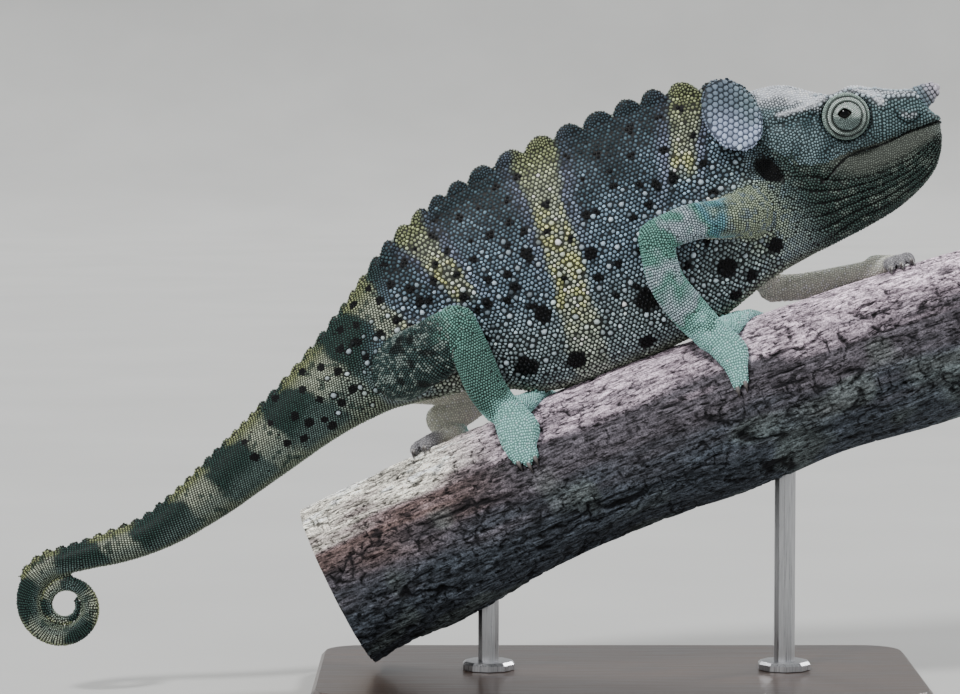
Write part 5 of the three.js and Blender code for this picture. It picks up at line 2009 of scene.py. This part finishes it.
def make_horn(scale_material):
    """The short horn on the snout: bare and blunt at its tip, with scales up to there."""
    (x0, z0), (x1, z1) = HORN["base"], HORN["tip"]
    length = math.hypot(x1 - x0, z1 - z0)
    base = np.array([x0, 0, z0])
    line = np.array([x1 - x0, 0, z1 - z0])
    axis = line / length
    loft = horn_loft(base, line, length)
    points, quads, triangles = loft.mesh()
    share = ((points - base) @ axis) / length
    outwards = unit(points - base - axis * (share * length)[:, None])
    points = points + outwards * (HORN["ripple"] * np.sin(share * 24))[:, None]
    colours = mixed(srgb(30, 38, 42), srgb(172, 166, 176), smooth_step(0.78, 0.9, share))
    piece(mesh_of("horn_core", points, [quads, triangles], colours), horn_finish(), "horn", ["horn"])
    sites, places = Atlas([loft]).lattice("horn", HORN_SCALES["size"], 0, HORN_SCALES["to"])
    spots, normals, _ = Shell(points, quads[:, ::-1]).snapped(sites)
    high = ((spots - base) @ axis) / length
    kept = high < HORN_SCALES["cover"]
    spots, normals, places, high = spots[kept], normals[kept], places.pick(kept), high[kept]
    tangents = unit(np.cross(axis, normals))
    radius = np.full(len(spots), HORN_SCALES["size"] / 2)
    tint = mixed(srgb(112, 128, 138), srgb(190, 184, 198), smooth_step(0.35, 0.85, high))
    tint = np.clip(tint * np.exp(RNG.normal(0, 0.15, len(spots)))[:, None], 0, 1)
    limits = outlines(spots, normals, tangents, radius)
    sites = spots, normals, tangents, limits, radius * 0.45
    scales = domes(*sites, tint, packed(places), PLATE_RINGS)
    piece(mesh_of("horn_scales", *scales), scale_material, "horn")


def claw(name, toe, side):
    """A short curved claw at the end of a toe, that follows the bark's round."""
    before, last = toe[-2:]
    step = math.copysign(1, last[1] - before[1])
    drift = (last[0] - before[0]) / abs(last[1] - before[1])
    per_degree = BRANCH["radius"] * math.pi / 180
    rows = []
    for f in np.linspace(-0.25, 1, 6):
        turn = (last[3] * CLAW["start"] + f * CLAW["length"]) / per_degree
        height = last[2] + CLAW["lift"] - CLAW["bend"] * f * abs(f)
        place = over_bark(last[0] + drift * turn, last[1] + step * turn, height, side)
        radius = CLAW["radius"] * (1 - (1 - CLAW["tip"]) * max(f, 0))
        rows.append((*place, radius, CLAW["flatness"] * radius))
    points, quads, triangles = tube(name, rows, 16, 4, branch_line()).mesh()
    share = np.linalg.norm(points - rows[0][:3], axis=1) / CLAW["length"]
    colours = mixed(srgb(116, 110, 108), srgb(56, 50, 50), smooth_step(0.2, 1, share))
    return mesh_of(name, points, [quads, triangles], colours)


def make_claws():
    finish = claw_finish()
    for foot in FEET:
        for number, toe in toes_of(foot):
            mesh = claw(f"nail_{foot}_{number}", toe, LIMBS[foot]["side"])
            piece(mesh, finish, "claw", [f"claw_{foot}_{number}"])


# ---- Branch and stand ----

# The bark's grid, and how far it is lifted under the belly so that no light shows there.
BARK = {"rows": 520, "columns": 300, "lift": 0.7}
# Two ways in which the bark's pattern is bent: size, reach along, round and out, and a seed.
BARK_WARPS = [(15, (8, 3, 3), 20), (3.5, (2.4, 1.2, 1.2), 24)]
# Flakes of bark that end in steps: their length and width, how many steps, the height of one, and a seed.
FLAKES = {"size": (16, 4, 4), "steps": 4, "height": 0.32, "seed": 55}
# Layers of ridges along the branch: their length and width, how high they are, and a seed.
BARK_RIDGES = [(40, 7, 0.6, 50), (18, 3.2, 0.55, 51), (7, 1.7, 0.45, 52), (3, 1.1, 0.35, 53)]
# Sets of cracks: length and width of their curves, half-width, depth, how much of the bark they leave out,
# and a seed.
BARK_CRACKS = [
    (60, 7, 0.018, 1.2, 0.5, 60),
    (26, 3.6, 0.026, 0.8, 0.52, 61),
    (5, 9, 0.018, 0.6, 0.56, 62),
    (3.4, 3.4, 0.03, 0.4, 0.62, 63),
]
# The bark's inks. Top, side and under are partly its own tones and partly painted light on top and painted
# shade underneath; the palest ink, used on top at the low end, is painted sunlight.
BARK_INK = {
    "top": srgb(214, 194, 208),
    "sunlit": srgb(250, 244, 230),
    "rust": srgb(116, 92, 84),
    "side": srgb(80, 76, 82),
    "under": srgb(66, 72, 80),
    "lichen": srgb(104, 114, 108),
    "crack": srgb(14, 14, 18),
}
# The sawn ends: rings of points, and the growth rings' radians to the millimetre and wobble in millimetres.
SAWN = {"rows": 46, "waves": 4.2, "wobble": 0.6}
WOOD_INK = {
    "pale": srgb(196, 170, 128),
    "ring": srgb(150, 116, 78),
    "bark": srgb(70, 54, 46),
    "pith": srgb(110, 80, 54),
}


def bark_relief(flat):
    """How far the bark stands out over its mean surface, and how far places are in its cracks."""
    bent = flat
    for size, reach, seed in BARK_WARPS:
        bent = bent + np.stack([noise(flat, size, seed + k) - 0.5 for k in range(3)], -1) * reach
    rise = np.zeros(len(flat))
    for length, width, height, seed in BARK_RIDGES:
        ridged = 1 - np.abs(2 * noise(bent / (length, width, width), 1, seed) - 1)
        rise += height * (ridged - 0.6)
    steps = FLAKES["steps"]
    level = steps * noise(bent / FLAKES["size"], 1, FLAKES["seed"])
    part = level % 1
    rise += FLAKES["height"] * (level - part + smooth_step(0.42, 0.58, part) - steps / 2)
    crack, deep = np.zeros((2, len(flat)))
    for length, width, half, depth, spared, seed in BARK_CRACKS:
        gap = np.abs(noise(bent / (length, width, width), 1, seed) - 0.5)
        shown = smooth_step(spared - 0.05, spared + 0.05, noise(flat / (1.4, 1, 1), 9, seed + 10))
        line = shown * (1 - smooth_step(0.3 * half, 1.5 * half, gap))
        crack = np.maximum(crack, line)
        deep = np.maximum(deep, depth * line)
    pit = smooth_step(0.8, 0.9, noise(flat, 1.9, 75))
    return np.minimum(rise - deep - 0.5 * pit, 0.5), np.maximum(crack, 0.7 * pit)


def paint_bark(flat, distance, around, rise, crack):
    """Pale on top and dark underneath, partly the bark's own tones and partly painted light and shade, with
    painted sunlight on top towards the low end, rusty beside that.
    """
    streak = noise(flat / (22, 3.5, 3.5), 1, 32) - 0.5
    fine = noise(flat / (5, 1.6, 1.6), 1, 34)
    up = np.cos(around) + 0.25 * (noise(flat, 24, 33) - 0.5) + 0.45 * streak
    colour = mixed(BARK_INK["under"], BARK_INK["side"], smooth_step(-0.5, 0.2, up))
    low = 1 - smooth_step(-75, -35, distance)
    top = mixed(BARK_INK["top"], BARK_INK["sunlit"], low * smooth_step(0.45, 0.75, up))
    colour = mixed(colour, top, smooth_step(0.4, 0.85, up))
    colour = mixed(colour, BARK_INK["rust"], 0.6 * low * bell(up - 0.45, 0.25))
    lichen = smooth_step(0.6, 0.75, noise(flat, 13, 35)) * (1 - smooth_step(0.1, 0.5, up))
    colour = mixed(colour, BARK_INK["lichen"], 0.35 * lichen)
    # Painted highlight on the raised bark and painted shade in its low places, over fine tones that differ at
    # random.
    colour = colour * (0.55 + 0.8 * fine + 0.5 * np.clip(rise, -0.8, 0.5))[:, None]
    return mixed(colour, BARK_INK["crack"], 0.9 * crack)


def make_branch():
    """Cracked old bark round the branch, and its two sawn ends."""
    rows, columns = BARK["rows"], BARK["columns"]
    loft = branch_loft(rows, columns)
    points = loft.points.reshape(-1, 3)
    distance = loft.stations[np.repeat(np.arange(rows), columns + 1)]
    around = np.tile(ring_angles(columns), rows)
    reach = bark_radius(distance, np.degrees(around))
    flat = np.stack([distance, reach * np.sin(around), reach * np.cos(around)], -1)
    rise, crack = bark_relief(flat)
    belly = BARK["lift"] * bell(distance, 22) * bell(np.sin(around / 2), 0.2)
    middle = on_branch(distance, 0, 0)
    points = points + unit(points - middle) * (rise + belly)[:, None]
    quads = grid_quads(rows, columns + 1)
    seam = quads[columns - 1::columns]
    seam[:, 2:] -= columns
    colour = np.clip(paint_bark(flat, distance, around, rise, crack), 0, 1)
    piece(mesh_of("perch_bark", points, quads, colour), bark_finish(), "bark", ["perch"])
    make_sawn_ends(points.reshape(rows, columns + 1, 3)[:, :-1])


def make_sawn_ends(rings):
    """The sawn ends: rings of points from the bark's first and last ring to the pith, coloured as grown."""
    finish = sawn_finish()
    axis = np.array(branch_line())
    for name, rim, outwards in (("low", rings[0], -1), ("high", rings[-1], 1)):
        columns = len(rim)
        middle = rim.mean(0)
        share = np.linspace(1, 0.02, SAWN["rows"])[:, None, None]
        points = middle + (rim - middle) * share
        radius = np.linalg.norm(points - middle, axis=2)
        points = points.reshape(-1, 3)
        wobble = SAWN["wobble"] * (noise(points, 9, 40) - 0.5).reshape(radius.shape)
        ring = 0.5 + 0.5 * np.sin((radius + wobble) * SAWN["waves"])
        edge = smooth_step(0.93, 0.97, np.broadcast_to(share[..., 0], radius.shape))
        colours = mixed(mixed(WOOD_INK["pale"], WOOD_INK["ring"], ring * 0.7), WOOD_INK["bark"], edge)
        quads = grid_quads(len(share), columns, closed=True)
        if quad_normals(points, quads).sum(0) @ axis * outwards < 0:
            quads = quads[:, ::-1]
        inner = len(points) - columns + np.arange(columns)
        fan = np.stack([inner, np.roll(inner, -1), np.full(columns, len(points))], -1)
        points = np.vstack([points, middle])
        a, b, pith = points[fan[0]]
        if np.cross(b - a, pith - a) @ axis * outwards < 0:
            fan = fan[:, ::-1]
        colours = np.vstack([colours.reshape(-1, 3), WOOD_INK["pith"]])
        piece(mesh_of(f"perch_end_{name}", points, [quads, fan], colours), finish, "bark")


def finish_stand():
    looks = {"stand_base": base_finish(), "stand_rod_low": rod_finish()}
    looks["stand_rod_high"] = looks["stand_rod_low"]
    for node, material in looks.items():
        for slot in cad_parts[node].material_slots:
            slot.material = material


# ---- Stage ----

# In metres and degrees.
CAMERA = {"distance": 1.4, "elevation": 4, "width": 0.3552, "x": -0.0112, "z": 0.1302, "sensor": 36}
# The studio, in metres: a flat floor that curves up into a low wall all round.
FLOOR = {"flat": 4.2, "radius": 5.2, "wall": 0.6, "gap": 0.0002, "steps": 24, "segments": 96}


def make_floor():
    bend = np.linspace(0, math.pi / 2, FLOOR["steps"])
    out = np.append(0.01, FLOOR["flat"] + (FLOOR["radius"] - FLOOR["flat"]) * np.sin(bend))
    high = np.append(0, FLOOR["wall"] * (1 - np.cos(bend)))
    segments = FLOOR["segments"]
    turn = ring_angles(segments)[:-1]
    rings = np.outer(out, np.cos(turn)), np.outer(out, np.sin(turn)), np.outer(high, np.ones(segments))
    points = np.vstack([np.stack(rings, -1).reshape(-1, 3), (0, 0, 0)])
    quads = grid_quads(len(out), segments, closed=True).tolist()
    middle = [(j, (j + 1) % segments, len(points) - 1) for j in range(segments)]
    mesh = bpy.data.meshes.new("studio_floor")
    mesh.from_pydata(points.tolist(), [], quads + middle)
    mesh.shade_smooth()
    floor = bpy.data.objects.new("studio_floor", mesh)
    bpy.context.scene.collection.objects.link(floor)
    floor.location.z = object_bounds()[0][2] - FLOOR["gap"]
    floor.data.materials.append(floor_finish())
    floor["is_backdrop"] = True


def make_light(name, direction, power, softness, colour=(1, 1, 1)):
    """A soft light from far away in that direction. Softness is its width in degrees."""
    data = bpy.data.lights.new(name, "SUN")
    data.energy = power
    data.angle = math.radians(softness)
    data.color = colour
    light = bpy.data.objects.new(name, data)
    bpy.context.scene.collection.objects.link(light)
    light.rotation_euler = Vector(direction).to_track_quat("Z", "Y").to_euler()


def make_lights():
    make_light("key", (-0.5, -0.75, 0.85), 3.1, 9)
    make_light("rim_right", (0.75, 0.5, 0.8), 2.6, 16)
    make_light("rim_left", (-0.5, 0.8, 0.75), 1.5, 16)
    make_light("fill", (0.9, -0.9, 0.75), 0.5, 40, (0.94, 0.97, 1))
    world = bpy.data.worlds.new("studio")
    world.use_nodes = True
    world.node_tree.nodes["Background"].inputs["Color"].default_value = (0.93, 0.95, 0.97, 1)
    world.node_tree.nodes["Background"].inputs["Strength"].default_value = 0.55
    bpy.context.scene.world = world


def make_camera():
    data = bpy.data.cameras.new("camera")
    data.sensor_width = CAMERA["sensor"]
    data.lens = CAMERA["sensor"] * CAMERA["distance"] / CAMERA["width"]
    data.clip_end = 20
    camera = bpy.data.objects.new("camera", data)
    bpy.context.scene.collection.objects.link(camera)
    lift = math.radians(CAMERA["elevation"])
    aim = Vector((CAMERA["x"], 0, CAMERA["z"]))
    camera.location = aim + Vector((0, -math.cos(lift), math.sin(lift))) * CAMERA["distance"]
    camera.rotation_euler = (aim - camera.location).to_track_quat("-Z", "Y").to_euler()
    bpy.context.scene.camera = camera


# ---- Assembly ----

# How bright the skin between the scales is painted beside them, on a loft whose name starts so: partly the
# skin's own darker colour and partly painted shade in the gaps, and less dark on the left limbs as painted
# light from behind.
GROOVES = {
    "front_left": 0.5, "hind_left": 0.5, "front_": 0.12, "hind_": 0.1, "skull": 0.12, "lobe": 0.2, "": 0.05,
}
JAW_GROOVE = 0.3
PALE_GROOVE = 0.7  # between pale scales of the skull, and less so elsewhere


def skin_colours(skin):
    """The markings of the skin between the scales, painted darker than they are: partly its own darker colour
    and partly painted shade in the gaps.
    """
    atlas, places = skin.atlas, skin.places
    tone_and_painted_shade = [next(v for start, v in GROOVES.items() if name.startswith(start)) for name in atlas.names]
    tone_and_painted_shade = np.array(tone_and_painted_shade)[places.owner]
    jaw = atlas.owned(places, "body") & (places.station < 5)
    smooth = jaw * (1 - smooth_step(0.34, 0.52, down_of(places.angle)))
    tone_and_painted_shade = tone_and_painted_shade + (JAW_GROOVE - tone_and_painted_shade) * smooth
    colours = paint(atlas, places, skin.points)
    pale = smooth_step(0.7, 0.85, colours.mean(1)) * np.where(atlas.owned(places, "skull"), 1, 0.35)
    tone_and_painted_shade = tone_and_painted_shade + (PALE_GROOVE - tone_and_painted_shade) * pale
    return colours * tone_and_painted_shade[:, None]


def make_animal():
    skin = Skin()
    finish = skin_finish()
    other = ("claw_", "eye_", "horn", "perch", "stand_")
    flesh = [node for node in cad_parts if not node.startswith(other)]
    piece(mesh_of("skin", skin.points, skin.quads, skin_colours(skin)), finish, "skin_body", flesh)
    coat_pieces(skin, Coat(skin), finish)
    make_eyes(finish)
    make_horn(finish)
    make_claws()


def write_sizes():
    boxes = {"cad": CAD_BOX, "visual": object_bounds()}
    {name: [list(corner) for corner in box] for name, box in boxes.items()}


make_animal()
make_branch()
finish_stand()
make_floor()
make_lights()
make_camera()
write_sizes()
